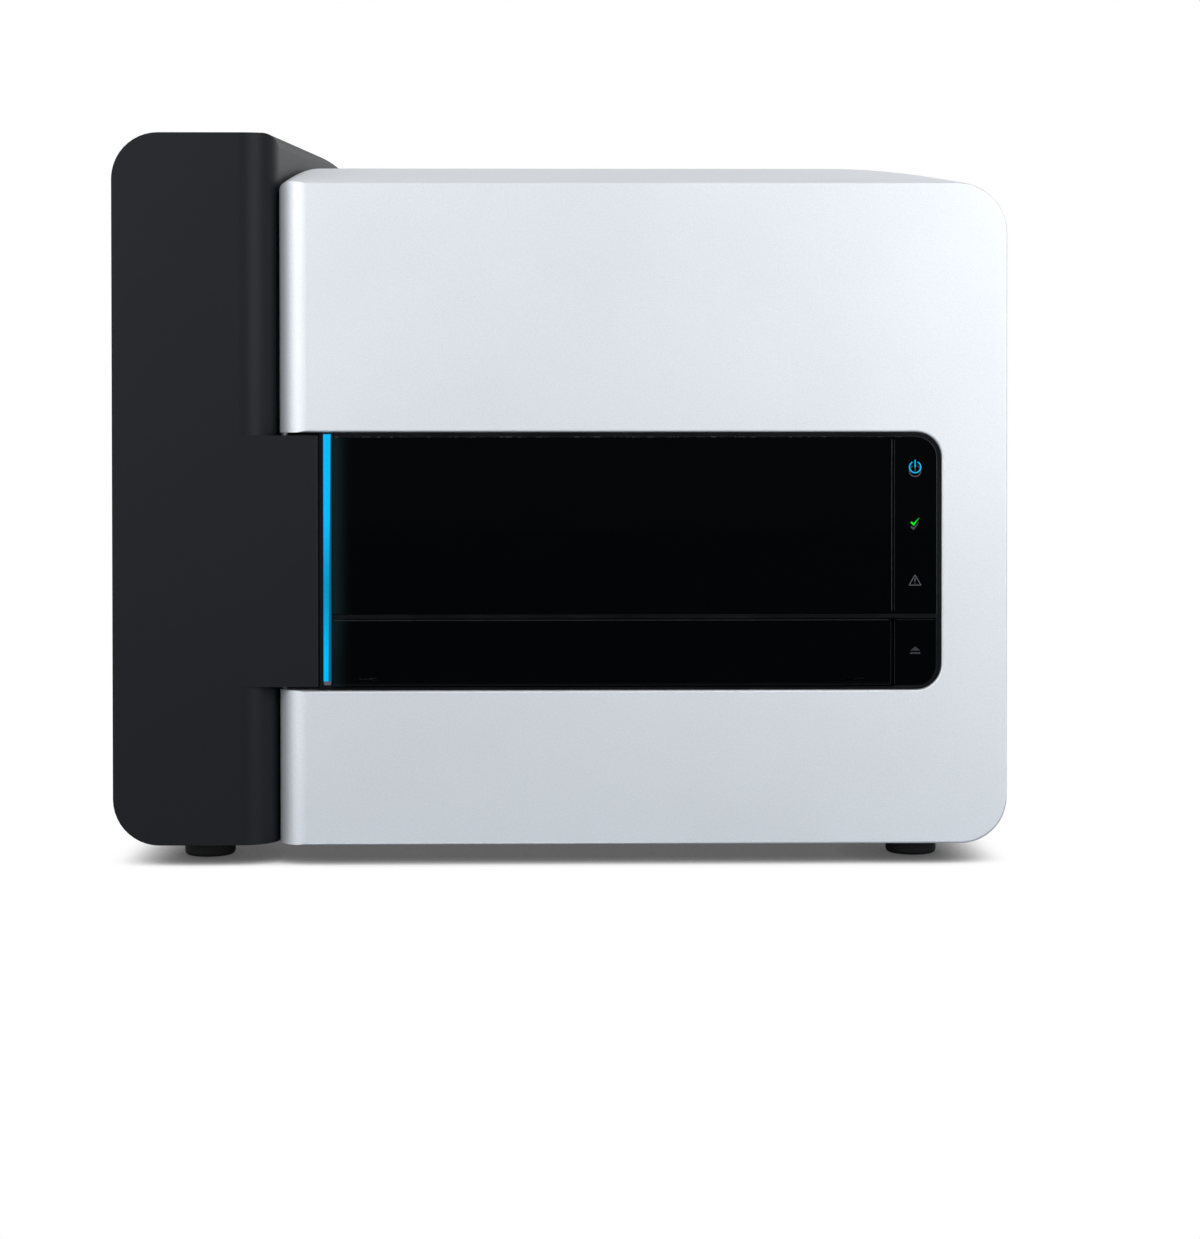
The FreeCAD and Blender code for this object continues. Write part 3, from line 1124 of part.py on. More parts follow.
def scan_head():
    """A carriage on the bridge, the objective block that crosses it, and the lens that focuses in it."""
    body = new_body("head_carriage")
    pad(body, "Z", HEAD_LOW, HEAD_TOP, oblong(
        f"{BRIDGE_LEFT} - 8", f"{SCREW_X} + 10", HEAD_FRONT, f"{HEAD_FRONT} + head_long", "3"))
    pocket(body, "Z", f"{HEAD_LOW} - 1", f"{HEAD_TOP} + 1", oblong(
        "tray_x - 66", "tray_x + 66", f"{LENS_Y} - 12", f"{LENS_Y} + 12", "6"))
    for x in (f"({BRIDGE_LEFT} + bridge_thick / 2)", f"({BRIDGE_RIGHT} - bridge_thick / 2)"):
        for side in ("-", "+"):
            a, b = f"{x} {side} (5 + run_gap)", f"{x} {side} 12"
            low, high = (b, a) if side == "-" else (a, b)
            pad(body, "Z", "bridge_high + 2", f"{HEAD_LOW} + 1",
                oblong(low, high, f"{HEAD_FRONT} + 2", f"{HEAD_FRONT} + head_long - 2"))
        pad(body, "Z", "bridge_high + 9 + run_gap", f"{HEAD_LOW} + 1", oblong(
            f"{x} - 12", f"{x} + 12", f"{HEAD_FRONT} + 2", f"{HEAD_FRONT} + head_long - 2"))
    pocket(body, "Y", f"{HEAD_FRONT} - 1", f"{HEAD_FRONT} + head_long + 1",
        disc(SCREW_X, SCREW_Z, "screw_wide + 0.1"))
    for y in (f"({HEAD_FRONT} + 6)", f"({HEAD_FRONT} + head_long - 6)"):
        pad(body, "Z", f"{HEAD_TOP} - 1", f"{HEAD_TOP} + 4",
            oblong("tray_x - 100", "tray_x + 100", f"{y} - 2.5", f"{y} + 2.5"))
    finished(body)
    body = new_body("objective_block")
    low = f"({HEAD_TOP} + 4 + run_gap)"
    pad(body, "Z", low, f"{low} + 26",
        oblong("tray_x - 22", "tray_x + 22", f"{HEAD_FRONT} + 1", f"{HEAD_FRONT} + head_long - 1", "4"))
    for y in (f"({HEAD_FRONT} + 6)", f"({HEAD_FRONT} + head_long - 6)"):
        for side in ("-", "+"):
            a, b = f"{y} {side} (2.5 + run_gap)", f"{y} {side} 5"
            near, far = (b, a) if side == "-" else (a, b)
            pad(body, "Z", f"{HEAD_TOP} + 1", f"{low} + 1", oblong("tray_x - 20", "tray_x + 20", near, far))
    pocket(body, "Z", f"{HEAD_TOP} - 1", f"{low} + 30", disc("tray_x", LENS_Y, "lens_wide + 2 * lens_gap"))
    finished(body)
    at = ("tray_x", LENS_Y)
    tip = f"({TRAY_TOP} + 5.5)"
    finished(join("objective_lens", [
        rod("Z", at, tip, f"{tip} + 10", "9", tip="lens_wide"),
        rod("Z", at, f"{tip} + 10", f"{low} + 32", "lens_wide"),
        rod("Z", at, f"{low} + 32", f"{low} + 40", "lens_wide + 6"),
        rod("Z", at, f"{tip} + 16", f"{tip} + 24", "lens_wide + 2.5")]))
    screw = [rod("Y", (SCREW_X, SCREW_Z), f"{BRIDGE_FRONT} + 0.3", f"{BRIDGE_REAR} + 0.2", "screw_wide")]
    finished(join("lead_screw", screw))
    motor = new_body("head_motor")
    half = "(motor_wide / 2)"
    pad(motor, "Y", f"{BRIDGE_REAR} + 0.5", f"{BRIDGE_REAR} + 34", [
        (f"{SCREW_X} - {half}", f"{SCREW_Z} - {half}", "4"),
        (f"{SCREW_X} + {half}", f"{SCREW_Z} - {half}", "4"),
        (f"{SCREW_X} + {half}", f"{SCREW_Z} + {half}", "4"),
        (f"{SCREW_X} - {half}", f"{SCREW_Z} + {half}", "4")])
    finished(motor)


def optics():
    """Beam block with its filter wheel, two lasers and two detectors on the rear of the bench."""
    y0, y1, top = f"({FRONT} + beam_back)", f"({FRONT} + beam_back + beam_long)", f"({BENCH_TOP} + beam_high)"
    body = new_body("beam_block")
    pad(body, "Z", BENCH_TOP, top, oblong("tray_x - 50", "tray_x + 50", y0, y1, "4"))
    pocket(body, "X", "tray_x - 60", "tray_x + 60", oblong(
        f"{y0} + 17.5", f"{y0} + 37.5", f"{BENCH_TOP} + 30", f"{BENCH_TOP} + 50", "3"))
    finished(body)
    for label, side in (("green_laser", "+"), ("red_laser", "-")):
        a, b = f"tray_x {side} 50.3", f"tray_x {side} 140"
        low, high = (a, b) if side == "+" else (b, a)
        laser = new_body(label)
        pad(laser, "X", low, high, [
            (f"{y0} + 6", BENCH_TOP), (f"{y1} - 6", BENCH_TOP), (f"{y1} - 6", f"{BENCH_TOP} + 54", "4"),
            (f"{y0} + 6", f"{BENCH_TOP} + 54", "4")])
        for number in range(5):
            x = f"({low} + {12 + 16 * number})"
            pocket(laser, "X", x, f"{x} + 6",
                oblong(f"{y0} + 3", f"{y1} - 3", f"{BENCH_TOP} + 48", f"{BENCH_TOP} + 60"))
        finished(laser)
    for label, x in (("green_detector", "(tray_x + 26)"), ("red_detector", "(tray_x - 26)")):
        y = f"(({y0} + {y1}) / 2)"
        finished(join(label, [rod("Z", (x, y), top, f"{top} + 10", "46"),
            rod("Z", (x, y), f"{top} + 10", f"{top} + 96", "38"),
                              rod("Z", (x, y), f"{top} + 96", f"{top} + 104", "30")]))
    z = f"({BENCH_TOP} + 42)"
    wheel = rod("Y", ("tray_x", z), f"{y0} - 24", f"{y0} - 20", "70")
    hub = rod("Y", ("tray_x", z), f"{y0} - 26", f"{y0} - 16.5", "10")
    holes = []
    for number in range(6):
        turn = math.radians(60 * number)
        holes.append(rod("Y",
            (f"tray_x + {round(24 * math.cos(turn), 3)}", f"{z} + {round(24 * math.sin(turn), 3)}"),
                         f"{y0} - 25", f"{y0} - 19", "14"))
    finished(remove("filter_wheel", join("filter_disc", [wheel, hub]), holes))
    finished(rod_node("filter_motor", "Y", ("tray_x", z), f"{y0} - 16", y0, "26"))


def rod_node(label, *sizes):
    part = rod(*sizes, label=label)
    part.Label = label
    return part


def electronics():
    """Power supply on the side bay's floor and the main board on its wall."""
    body = new_body("power_supply")
    x0, x1 = f"{LEFT} + side_corner + 4", f"{MODULE_RIGHT} - shell_wall - 4"
    pad(body, "Z", FLOOR, f"{FLOOR} + 96", oblong(x0, x1, f"{REAR} - 270", f"{REAR} - 90", "2"))
    for number in range(9):
        y = f"({REAR} - {258 - 18 * number})"
        pocket(body, "X", f"{x0} - 1", f"{x0} + 1.5", oblong(y, f"{y} + 5", f"{FLOOR} + 20", f"{FLOOR} + 76"))
    finished(body)
    wall = f"({MODULE_RIGHT} - shell_wall)"
    y0, y1 = f"({FRONT} + board_back)", f"({FRONT} + board_back + board_long)"
    z0, z1 = "board_low", "(board_low + board_tall)"
    board = [block(f"{wall} - 7.6", f"{wall} - 6", y0, y1, z0, z1)]
    for dy, dz, wide, tall, deep in ((20, 180, 60, 40, 9), (110, 150, 44, 44, 14), (180, 40, 40, 90, 12),
                                     (20, 30, 120, 22, 10), (60, 90, 30, 30, 4), (190, 170, 26, 40, 8)):
        board.append(block(f"{wall} - 7.6 - {deep}", f"{wall} - 7", f"{y0} + {dy}", f"{y0} + {dy + wide}",
                           f"{z0} + {dz}", f"{z0} + {dz + tall}"))
    finished(join("main_board", board))
    spacers = [rod("X", (y, z), f"{wall} - 6", wall, "6") for y in (f"{y0} + 8", f"{y1} - 8")
               for z in (f"{z0} + 8", f"{z1} - 8")]
    finished(together("board_spacers", spacers))


def main():
    for make in PIECES:
        make()
    doc.recompute()
    for item in doc.Objects:
        if "Invalid" in item.State or "Error" in item.State:
            raise RuntimeError(f"{item.Label} failed: {item.State}")
    for part in FINISHED:
        if part.Shape.isNull() or not part.Shape.isValid():
            raise RuntimeError(f"{part.Label} has no valid shape")
    os.makedirs("parts", exist_ok=True)
    for part in FINISHED:
        part.Shape.exportStep(f"parts/{part.Label}.step")


PIECES = (side_module_shell, front_fascia, main_cover, floors, feet, window_frame, window_panes, tray_door,
          door_hinges, eject_button, main_rear_panel, side_rear_panel, fan, power_entry,
          data_ports, rear_screws,
          optical_bench, loader, scan_bridge, scan_head, optics, electronics)
main()
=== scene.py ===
"""Finishes, small pieces, lights and camera for a bench-top microarray scanner.

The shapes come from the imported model. This script paints them, adds the pieces that are too fine for it,
such as the lit symbols, the glass bead, the screw heads and the socket contacts, and sets up the studio.
Metres throughout: +X to the right of a person facing the scanner, +Y to the rear, +Z up.
"""

import json
import math

import bmesh
import bpy
from bpy.props import FloatProperty, FloatVectorProperty, IntProperty, PointerProperty
from mathutils import Matrix, Vector


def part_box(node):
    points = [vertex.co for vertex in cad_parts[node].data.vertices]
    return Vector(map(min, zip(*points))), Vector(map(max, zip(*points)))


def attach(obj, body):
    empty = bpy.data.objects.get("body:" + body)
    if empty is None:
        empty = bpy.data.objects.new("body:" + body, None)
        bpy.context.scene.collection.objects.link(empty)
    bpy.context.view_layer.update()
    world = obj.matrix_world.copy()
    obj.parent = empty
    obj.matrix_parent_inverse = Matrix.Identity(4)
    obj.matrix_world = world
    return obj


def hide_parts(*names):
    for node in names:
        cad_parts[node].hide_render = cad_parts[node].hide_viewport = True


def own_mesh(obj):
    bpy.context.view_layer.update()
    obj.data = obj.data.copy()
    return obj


bl_info = {
    "name": "Microarray scanner",
    "version": (1, 0, 0),
    "blender": (4, 5, 0),
    "location": "3D View > Sidebar > Scanner",
    "description": "Finishes, small pieces, lights and camera for a bench-top microarray scanner",
    "category": "Object",
}

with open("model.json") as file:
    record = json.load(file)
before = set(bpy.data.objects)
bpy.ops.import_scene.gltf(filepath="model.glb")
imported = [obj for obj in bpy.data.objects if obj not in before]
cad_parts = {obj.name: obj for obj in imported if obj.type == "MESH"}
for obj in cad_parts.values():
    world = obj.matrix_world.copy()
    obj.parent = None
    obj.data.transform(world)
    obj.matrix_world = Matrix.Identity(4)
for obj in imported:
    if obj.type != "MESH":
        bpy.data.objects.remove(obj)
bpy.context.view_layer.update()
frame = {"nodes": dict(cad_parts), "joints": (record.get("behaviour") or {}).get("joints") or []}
NODES = frame["nodes"]

# The photograph's frame and its view of the scanner, in pixels
PHOTO_HIGH = 1239
PHOTO_FOCUS = 2460
PHOTO_HORIZON = 445.4

# The camera: where it stands, and its small angles in degrees
CAMERA_PLACE = (0.00215, -1.7537, 0.24414)
CAMERA_TILT = 0.705
CAMERA_TURN = 0.827
CAMERA_ROLL = -0.038
SENSOR_WIDE = 36

# Each lamp's place, width, height and the setting that holds its power
LAMPS_AIM = (0, 0, 0.22)
LAMPS = {
    "key_lamp": ((1.25, -1.85, 0.86), 1.2, 1.6, "key"),
    "fill_lamp": ((-1.35, -1.8, 0.84), 2.0, 1.6, "fill"),
    "top_lamp": ((0, -0.1, 2.3), 2.4, 1.6, "top"),
    "rear_lamp_right": ((1.7, 1.9, 1.0), 2.2, 1.8, "rear"),
    "rear_lamp_left": ((-1.7, 1.9, 1.0), 2.2, 1.8, "rear")}

# How bright the studio looks: its room light, and the white behind and below as gloss mirrors it
ROOM_LIGHT = 0.07
WHITE_BEHIND = {"low": -0.5, "high": 0.3, "to_low": 0.0, "to_high": 0.68}
FLOOR_NEAR = {"low": -1.34, "high": -1.14, "to_low": 0.02, "to_high": 0.27}
FLOOR_FAR = {"low": -0.5, "high": 0.2, "to_low": 0.0, "to_high": 0.43}
SHADOW_REACH = 0.032

PANE_LOW, PANE_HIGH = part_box("window_glass")
COLUMN_LOW, COLUMN_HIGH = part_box("status_panel")
FLAP_LOW, FLAP_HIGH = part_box("tray_door")
BUTTON_LOW, BUTTON_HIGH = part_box("eject_button")
STRIP_LOW, STRIP_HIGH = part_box("light_pipe")

# Rear screws: the main panel's six, then the side panel's four
REAR_SCREWS = (
    {"across": (-0.1527, 0.247), "up": (0.06, 0.21, 0.36)},
    {"across": (-0.249, -0.1762), "up": (0.13, 0.22)})

# Network socket, from the middle of the sockets' plate, and one contact's bend as depth and drop
SOCKET_LEFT = 0.01015
CONTACT_TOP = 0.0036
CONTACT_PITCH = 0.00102
CONTACT_BEND = ((0.015, 0.0), (0.0045, 0.0), (0.0036, 0.0003), (0.0034, 0.0009), (0.0115, 0.0036))

# Rocker's middle height, and its two marks: half the bar's width and height, the ring's radius and line
ROCKER_Z = 0.098
BAR_HALF = (0.0004, 0.002)
RING_RADIUS = 0.0019
RING_LINE = 0.0007

# A printed mark's thickness, and how far the lit symbols stand before their reflections
PRINT_THICK = 0.00006
PRINT_LIFT = 0.00003


class ScannerColours(bpy.types.PropertyGroup):
    """Colours of the scanner's main finishes."""

    silver: FloatVectorProperty(
        name="Silver paint", description="Front and cover", subtype="COLOR",
        size=3, min=0, max=1, default=(0.735, 0.765, 0.805))
    charcoal: FloatVectorProperty(
        name="Charcoal paint", description="Side module", subtype="COLOR",
        size=3, min=0, max=1, default=(0.0068, 0.0081, 0.0107))
    gloss: FloatVectorProperty(
        name="Black gloss", description="Window, flap and button", subtype="COLOR",
        size=3, min=0, max=1, default=(0.0011, 0.0013, 0.0018))
    strip: FloatVectorProperty(
        name="Light strip", description="Lit strip at the left of the window", subtype="COLOR",
        size=3, min=0, max=1, default=(0.0, 0.49, 0.94))
    power: FloatVectorProperty(
        name="Power symbol", description="Lit ring", subtype="COLOR",
        size=3, min=0, max=1, default=(0.0, 0.42, 0.74))
    ready: FloatVectorProperty(
        name="Ready symbol", description="Lit tick", subtype="COLOR",
        size=3, min=0, max=1, default=(0.0, 0.70, 0.01))
    printed: FloatVectorProperty(
        name="Unlit symbol", description="Symbols that aren't lit", subtype="COLOR",
        size=3, min=0, max=1, default=(0.085, 0.088, 0.098))


class ScannerGrain(bpy.types.PropertyGroup):
    """Sizes of the patterns in the finishes."""

    flake: FloatProperty(
        name="Flake", description="Width of a patch of metal flakes in the silver paint",
        subtype="DISTANCE", min=0.0001, max=0.01, default=0.0009)
    satin: FloatProperty(
        name="Satin grain", description="Width of a grain in the charcoal paint",
        subtype="DISTANCE", min=0.0001, max=0.01, default=0.0007)
    glow: FloatProperty(
        name="Glow", description="How far the strip's glow reaches over the glass",
        subtype="DISTANCE", min=0.001, max=0.1, default=0.014)


class ScannerSymbols(bpy.types.PropertyGroup):
    """Sizes and heights of the symbols on the status column."""

    line: FloatProperty(
        name="Line", description="Width of a drawn line", subtype="DISTANCE",
        min=0.0001, max=0.002, default=0.00066)
    ring: FloatProperty(
        name="Ring", description="Outer radius of the power symbol", subtype="DISTANCE",
        min=0.001, max=0.01, default=0.0036)
    power_height: FloatProperty(
        name="Power height", description="Middle of the power symbol above the glass's lower edge",
        subtype="DISTANCE", min=0, max=0.2, default=0.0852)
    ready_height: FloatProperty(
        name="Ready height", description="Middle of the tick above the glass's lower edge",
        subtype="DISTANCE", min=0, max=0.2, default=0.0529)
    warning_height: FloatProperty(
        name="Warning height", description="Foot of the triangle above the glass's lower edge",
        subtype="DISTANCE", min=0, max=0.2, default=0.0164)
    reflection_drop: FloatProperty(
        name="Ghost drop", description="How far a symbol's reflection lies below it",
        subtype="DISTANCE", min=0, max=0.01, default=0.0022)


class ScannerFixings(bpy.types.PropertyGroup):
    """Sizes of the repeated small pieces."""

    head: FloatProperty(
        name="Screw head", description="Width of a rear screw's head", subtype="DISTANCE",
        min=0.002, max=0.02, default=0.007)
    wire: FloatProperty(
        name="Spring wire", description="Thickness of the button spring's wire", subtype="DISTANCE",
        min=0.0002, max=0.002, default=0.0008)
    turns: FloatProperty(
        name="Spring turns", description="Turns of the button's spring", min=1, max=20, default=4.5)
    shank: FloatProperty(
        name="Screw shank", description="Thickness of a rear screw below its head", subtype="DISTANCE",
        min=0.001, max=0.01, default=0.004)
    reach: FloatProperty(
        name="Screw reach", description="Length of a rear screw below its head", subtype="DISTANCE",
        min=0.001, max=0.03, default=0.009)
    bead: FloatProperty(
        name="Bead", description="Width of the bead round the glass", subtype="DISTANCE",
        min=0.0001, max=0.002, default=0.0005)
    edge: FloatProperty(
        name="Edge", description="Width of a polished edge along a seam", subtype="DISTANCE",
        min=0.0001, max=0.002, default=0.00045)
    joint: FloatProperty(
        name="Joint", description="Width of the joint that the bead lies in", subtype="DISTANCE",
        min=0, max=0.002, default=0.0003)
    corner: FloatProperty(
        name="Corner", description="Radius of the bead at the window's right corners", subtype="DISTANCE",
        min=0.001, max=0.05, default=0.0123)
    contact: FloatProperty(
        name="Contact", description="Width of a gold contact in a socket", subtype="DISTANCE",
        min=0.0001, max=0.002, default=0.0005)
    contacts: IntProperty(
        name="Contacts", description="Contacts in the network socket", min=1, max=20, default=8)


class ScannerStudio(bpy.types.PropertyGroup):
    """Powers of the lamps and the size of the floor."""

    key: FloatProperty(
        name="Key lamp", description="Power of the large lamp at the front right", subtype="POWER",
        min=0, max=500, default=32.5)
    fill: FloatProperty(
        name="Fill lamp", description="Power of the large lamp at the front left", subtype="POWER",
        min=0, max=500, default=30.5)
    top: FloatProperty(
        name="Top lamp", description="Power of the lamp overhead", subtype="POWER",
        min=0, max=500, default=7)
    rear: FloatProperty(
        name="Rear lamp", description="Power of each lamp behind", subtype="POWER",
        min=0, max=500, default=15)
    floor: FloatProperty(
        name="Floor", description="Width of the floor", subtype="DISTANCE",
        min=1, max=50, default=12)


class ScannerSettings(bpy.types.PropertyGroup):
    """Every size and colour that a user would change."""

    colours: PointerProperty(type=ScannerColours)
    grain: PointerProperty(type=ScannerGrain)
    symbols: PointerProperty(type=ScannerSymbols)
    fixings: PointerProperty(type=ScannerFixings)
    studio: PointerProperty(type=ScannerStudio)


def settings():
    return bpy.context.scene.scanner


# Materials: a socket that takes part in sums, and a finish that collects nodes


class Signal:
    """A node's output that can be used in plain sums."""

    def __init__(self, maker, socket):
        self.maker = maker
        self.socket = socket

    def maths(self, operation, first, second):
        return self.maker.node("ShaderNodeMath", {"operation": operation}, {0: first, 1: second})["Value"]

    def __add__(self, other):
        return self.maths("ADD", self, other)

    def __sub__(self, other):
        return self.maths("SUBTRACT", self, other)

    def __rsub__(self, other):
        return self.maths("SUBTRACT", other, self)

    def __mul__(self, other):
        return self.maths("MULTIPLY", self, other)

    def __truediv__(self, other):
        return self.maths("DIVIDE", self, other)

    def __lt__(self, other):
        return self.maths("LESS_THAN", self, other)

    def larger(self, other):
        return self.maths("MAXIMUM", self, other)


class NodeTree:
    """A node tree in the making."""

    def __init__(self, tree):
        self.tree = tree

    def feed(self, target, value):
        if isinstance(value, Signal):
            self.tree.links.new(value.socket, target)
        elif target.type == "RGBA":
            target.default_value = (*value[:3], 1)
        else:
            target.default_value = value

    def node(self, kind, options=None, inputs=None):
        """Adds a node, sets its options first and then its sockets, and gives its outputs by name."""
        made = self.tree.nodes.new(kind)
        for option, value in (options or {}).items():
            setattr(made, option, value)
        for name, value in (inputs or {}).items():
            self.feed(self.input_of(made, name), value)
        return {out.name: Signal(self, out) for out in made.outputs if out.enabled}

    @staticmethod
    def input_of(node, name):
        if isinstance(name, int):
            return node.inputs[name]
        return next(socket for socket in node.inputs if socket.name == name and socket.enabled)

    def spread(self, value, low, high, to_low=0.0, to_high=1.0, smooth=True):
        """The value from low to high becomes to_low to to_high, and is held outside that."""
        kind = "SMOOTHSTEP" if smooth else "LINEAR"
        return self.node("ShaderNodeMapRange", {"interpolation_type": kind}, {
            "Value": value, "From Min": low, "From Max": high, "To Min": to_low, "To Max": to_high})["Result"]

    def axes(self, place):
        """The X, Y and Z of a place."""
        return self.node("ShaderNodeSeparateXYZ", inputs={"Vector": place})

    def seen_white(self, path, behind):
        """Which rays see the studio's white: the camera's in full, and glossy ones as far as behind says."""
        shiny = path["Is Glossy Ray"].larger(path["Is Transmission Ray"])
        return path["Is Camera Ray"].larger(shiny * behind)


class Finish(NodeTree):
    """A material in the making."""

    def __init__(self, name, **constants):
        self.material = bpy.data.materials.new(name)
        self.material.use_nodes = True
        super().__init__(self.material.node_tree)
        self.shader = self.tree.nodes["Principled BSDF"]
        for socket, value in constants.items():
            self.set(socket.replace("_", " ").title().replace("Ior", "IOR"), value)

    def set(self, socket, value):
        """Gives one of the shader's sockets a constant or a signal."""
        self.feed(self.shader.inputs[socket], value)

    def place(self):
        """Where a point lies in the scanner's own frame."""
        return self.node("ShaderNodeTexCoord")["Object"]

    def noise(self, grain, detail=2.0, roughness=0.5, stretch=(1, 1, 1)):
        """Noise whose patches are about a grain wide, in metres."""
        vector = self.node("ShaderNodeMapping", inputs={"Vector": self.place(), "Scale": stretch})["Vector"]
        return self.node("ShaderNodeTexNoise", {"noise_dimensions": "3D"}, {
            "Vector": vector, "Scale": 1 / grain, "Detail": detail, "Roughness": roughness})["Fac"]

    def cells(self, grain):
        """How far a point lies from the middle of its cell, for cells about a grain wide."""
        return self.node("ShaderNodeTexVoronoi", inputs={
            "Vector": self.place(), "Scale": 1 / grain, "Randomness": 1.0})["Distance"]

    def mix(self, part, first, second):
        """A colour that is part of the way from the first to the second."""
        return self.node("ShaderNodeMix", {"data_type": "RGBA"}, {
            "Factor": part, "A": first, "B": second})["Result"]

    def bump(self, height, distance, strength):
        """Raises the surface by up to a distance where height is 1."""
        self.set("Normal", self.node("ShaderNodeBump", inputs={
            "Height": height, "Distance": distance, "Strength": strength})["Normal"])


def shade(colour, factor):
    """A colour made darker or lighter by a factor."""
    return tuple(min(1.0, channel * factor) for channel in colour)


def paint(material, *names):
    """Gives CAD nodes a finish."""
    for name in names:
        mesh = NODES[name].data
        mesh.materials.clear()
        mesh.materials.append(material)


def silver_paint():
    """Satin metallic paint: fine flakes, a faint cloudiness and a thin clear coat."""
    colour, grain = settings().colours.silver, settings().grain.flake
    finish = Finish("silver_paint", metallic=0.8, coat_weight=0.1, coat_roughness=0.36, coat_ior=1.45)
    flakes = finish.noise(grain, detail=3, roughness=0.7)
    clouds = finish.noise(0.09, detail=3)
    level = finish.spread(flakes, 0.3, 0.7, smooth=False) * 0.8 + finish.spread(clouds, 0.3, 0.7) * 0.2
    finish.set("Base Color", finish.mix(level, shade(colour, 0.93), shade(colour, 1.06)))
    finish.set("Roughness", finish.spread(finish.cells(grain * 0.6), 0, 1, 0.5, 0.6))
    finish.bump(flakes, 0.00002, 0.35)
    return finish.material


def charcoal_paint():
    """Fine-grained satin charcoal."""
    colour, grain = settings().colours.charcoal, settings().grain.satin
    finish = Finish("charcoal_paint", specular_ior_level=0.17)
    speck = finish.noise(grain, detail=4, roughness=0.75)
    clouds = finish.noise(0.12, detail=2)
    level = finish.spread(speck, 0.3, 0.7, smooth=False) * 0.7 + finish.spread(clouds, 0.3, 0.7) * 0.3
    finish.set("Base Color", finish.mix(level, shade(colour, 0.86), shade(colour, 1.14)))
    finish.set("Roughness", finish.spread(speck, 0.3, 0.7, 0.44, 0.56))
    finish.bump(speck, 0.00004, 0.5)
    return finish.material


def strip_glow(finish, axes, left):
    """The strip's glow on the glass beside it, weaker toward the strip's lower end."""
    weak_high, weakest = 0.05, 0.55
    near = finish.spread(axes["X"], left, left + settings().grain.glow, 1, 0)
    level = finish.spread(axes["Z"], STRIP_LOW.z, STRIP_LOW.z + weak_high, weakest, 1)
    finish.set("Emission Color", finish.mix(near * near * level, (0, 0, 0), (0.0045, 0.0125, 0.0145)))
    finish.set("Emission Strength", 1.0)


def black_gloss(name, left=None):
    """Polished black acrylic with faint wipe marks and dust, lit beside the strip from its left edge."""
    finish = Finish(name, specular_ior_level=0.12)
    smear = finish.noise(0.05, detail=4, stretch=(1, 1, 2.6))
    finish.set("Roughness", finish.spread(smear, 0.35, 0.7, 0.03, 0.075))
    dust = finish.cells(0.004) < 0.025
    colour = settings().colours.gloss
    finish.set("Base Color", finish.mix(dust * 0.35, colour, (0.03, 0.03, 0.033)))
    if left is not None:
        strip_glow(finish, finish.axes(finish.place()), left)
    return finish.material


def black_moulding(name, colour, low, high, grain=0.0012, gloss=0.45):
    """Moulded plastic: fine texture, and a sheen whose roughness wanders from low to high."""
    finish = Finish(name, specular_ior_level=gloss)
    texture = finish.noise(grain, detail=3, roughness=0.6)
    broad = finish.noise(0.03, detail=2)
    finish.set("Base Color", finish.mix(texture * 0.5 + broad * 0.5, shade(colour, 0.75), shade(colour, 1.3)))
    finish.set("Roughness", finish.spread(broad, 0.3, 0.7, low, high))
    finish.bump(texture, 0.00003, 0.5)
    return finish.material


def lit_strip():
    """Milky light pipe, lit toward both ends, with a dim band at its right edge and a bare lower end."""
    colour = settings().colours.strip
    finish = Finish("light_strip", roughness=0.35, emission_strength=1.0, specular_ior_level=0.08)
    axes = finish.axes(finish.place())
    x, z = axes["X"], axes["Z"]
    bottom, middle, top = (STRIP_LOW.z + rise for rise in (0.01, 0.055, 0.1))
    band_wide, band_lean, band_soft, cap_high = 0.0006, 0.0095, 0.0005, 0.0022
    mottle = finish.noise(0.0016, detail=2)
    along = finish.spread(z, bottom, middle, 1.0, 0.0) + finish.spread(z, middle, top)
    level = finish.spread(mottle, 0.3, 0.7) * 0.15 + along * 0.85
    lit = finish.mix(level, shade(colour, 0.55), colour)
    side = STRIP_HIGH.x - band_wide - (STRIP_HIGH.z - z) * band_lean
    lit = finish.mix(finish.spread(x - side, 0.0, band_soft), lit, (0.0, 0.095, 0.165))
    cap = z < STRIP_LOW.z + cap_high
    finish.set("Emission Color", finish.mix(cap, lit, (0.0, 0.0, 0.0)))
    finish.set("Base Color", finish.mix(cap, (0.0, 0.02, 0.04), (0.10, 0.10, 0.12)))
    return finish.material


def metal(name, colour, rough, grain, stretch=(1, 1, 1), metallic=1.0):
    """Bare or anodised metal with a grain of its own."""
    finish = Finish(name, metallic=metallic)
    lines = finish.noise(grain, detail=4, roughness=0.65, stretch=stretch)
    stain = finish.noise(0.05, detail=3)
    finish.set("Base Color", finish.mix(lines * 0.6 + stain * 0.4, shade(colour, 0.8), shade(colour, 1.12)))
    finish.set("Roughness", finish.spread(lines, 0.3, 0.7, rough * 0.75, rough * 1.25))
    finish.bump(lines, 0.00002, 0.6)
    return finish.material


def painted_glint_bead():
    """The top bead, with paler specks in its colour that paint highlights along its edge, and a roughness
    that follows them.
    """
    finish = Finish("bead_speckled", specular_ior_level=0.3)
    painted_glints = finish.spread(finish.noise(0.0035, detail=4, roughness=0.8), 0.5, 0.66)
    # The paler specks in the base colour are painted highlights.
    finish.set("Base Color", finish.mix(painted_glints, (0.004, 0.0042, 0.005), (0.055, 0.055, 0.06)))
    finish.set("Roughness", finish.spread(painted_glints, 0, 1, 0.2, 0.4))
    return finish.material


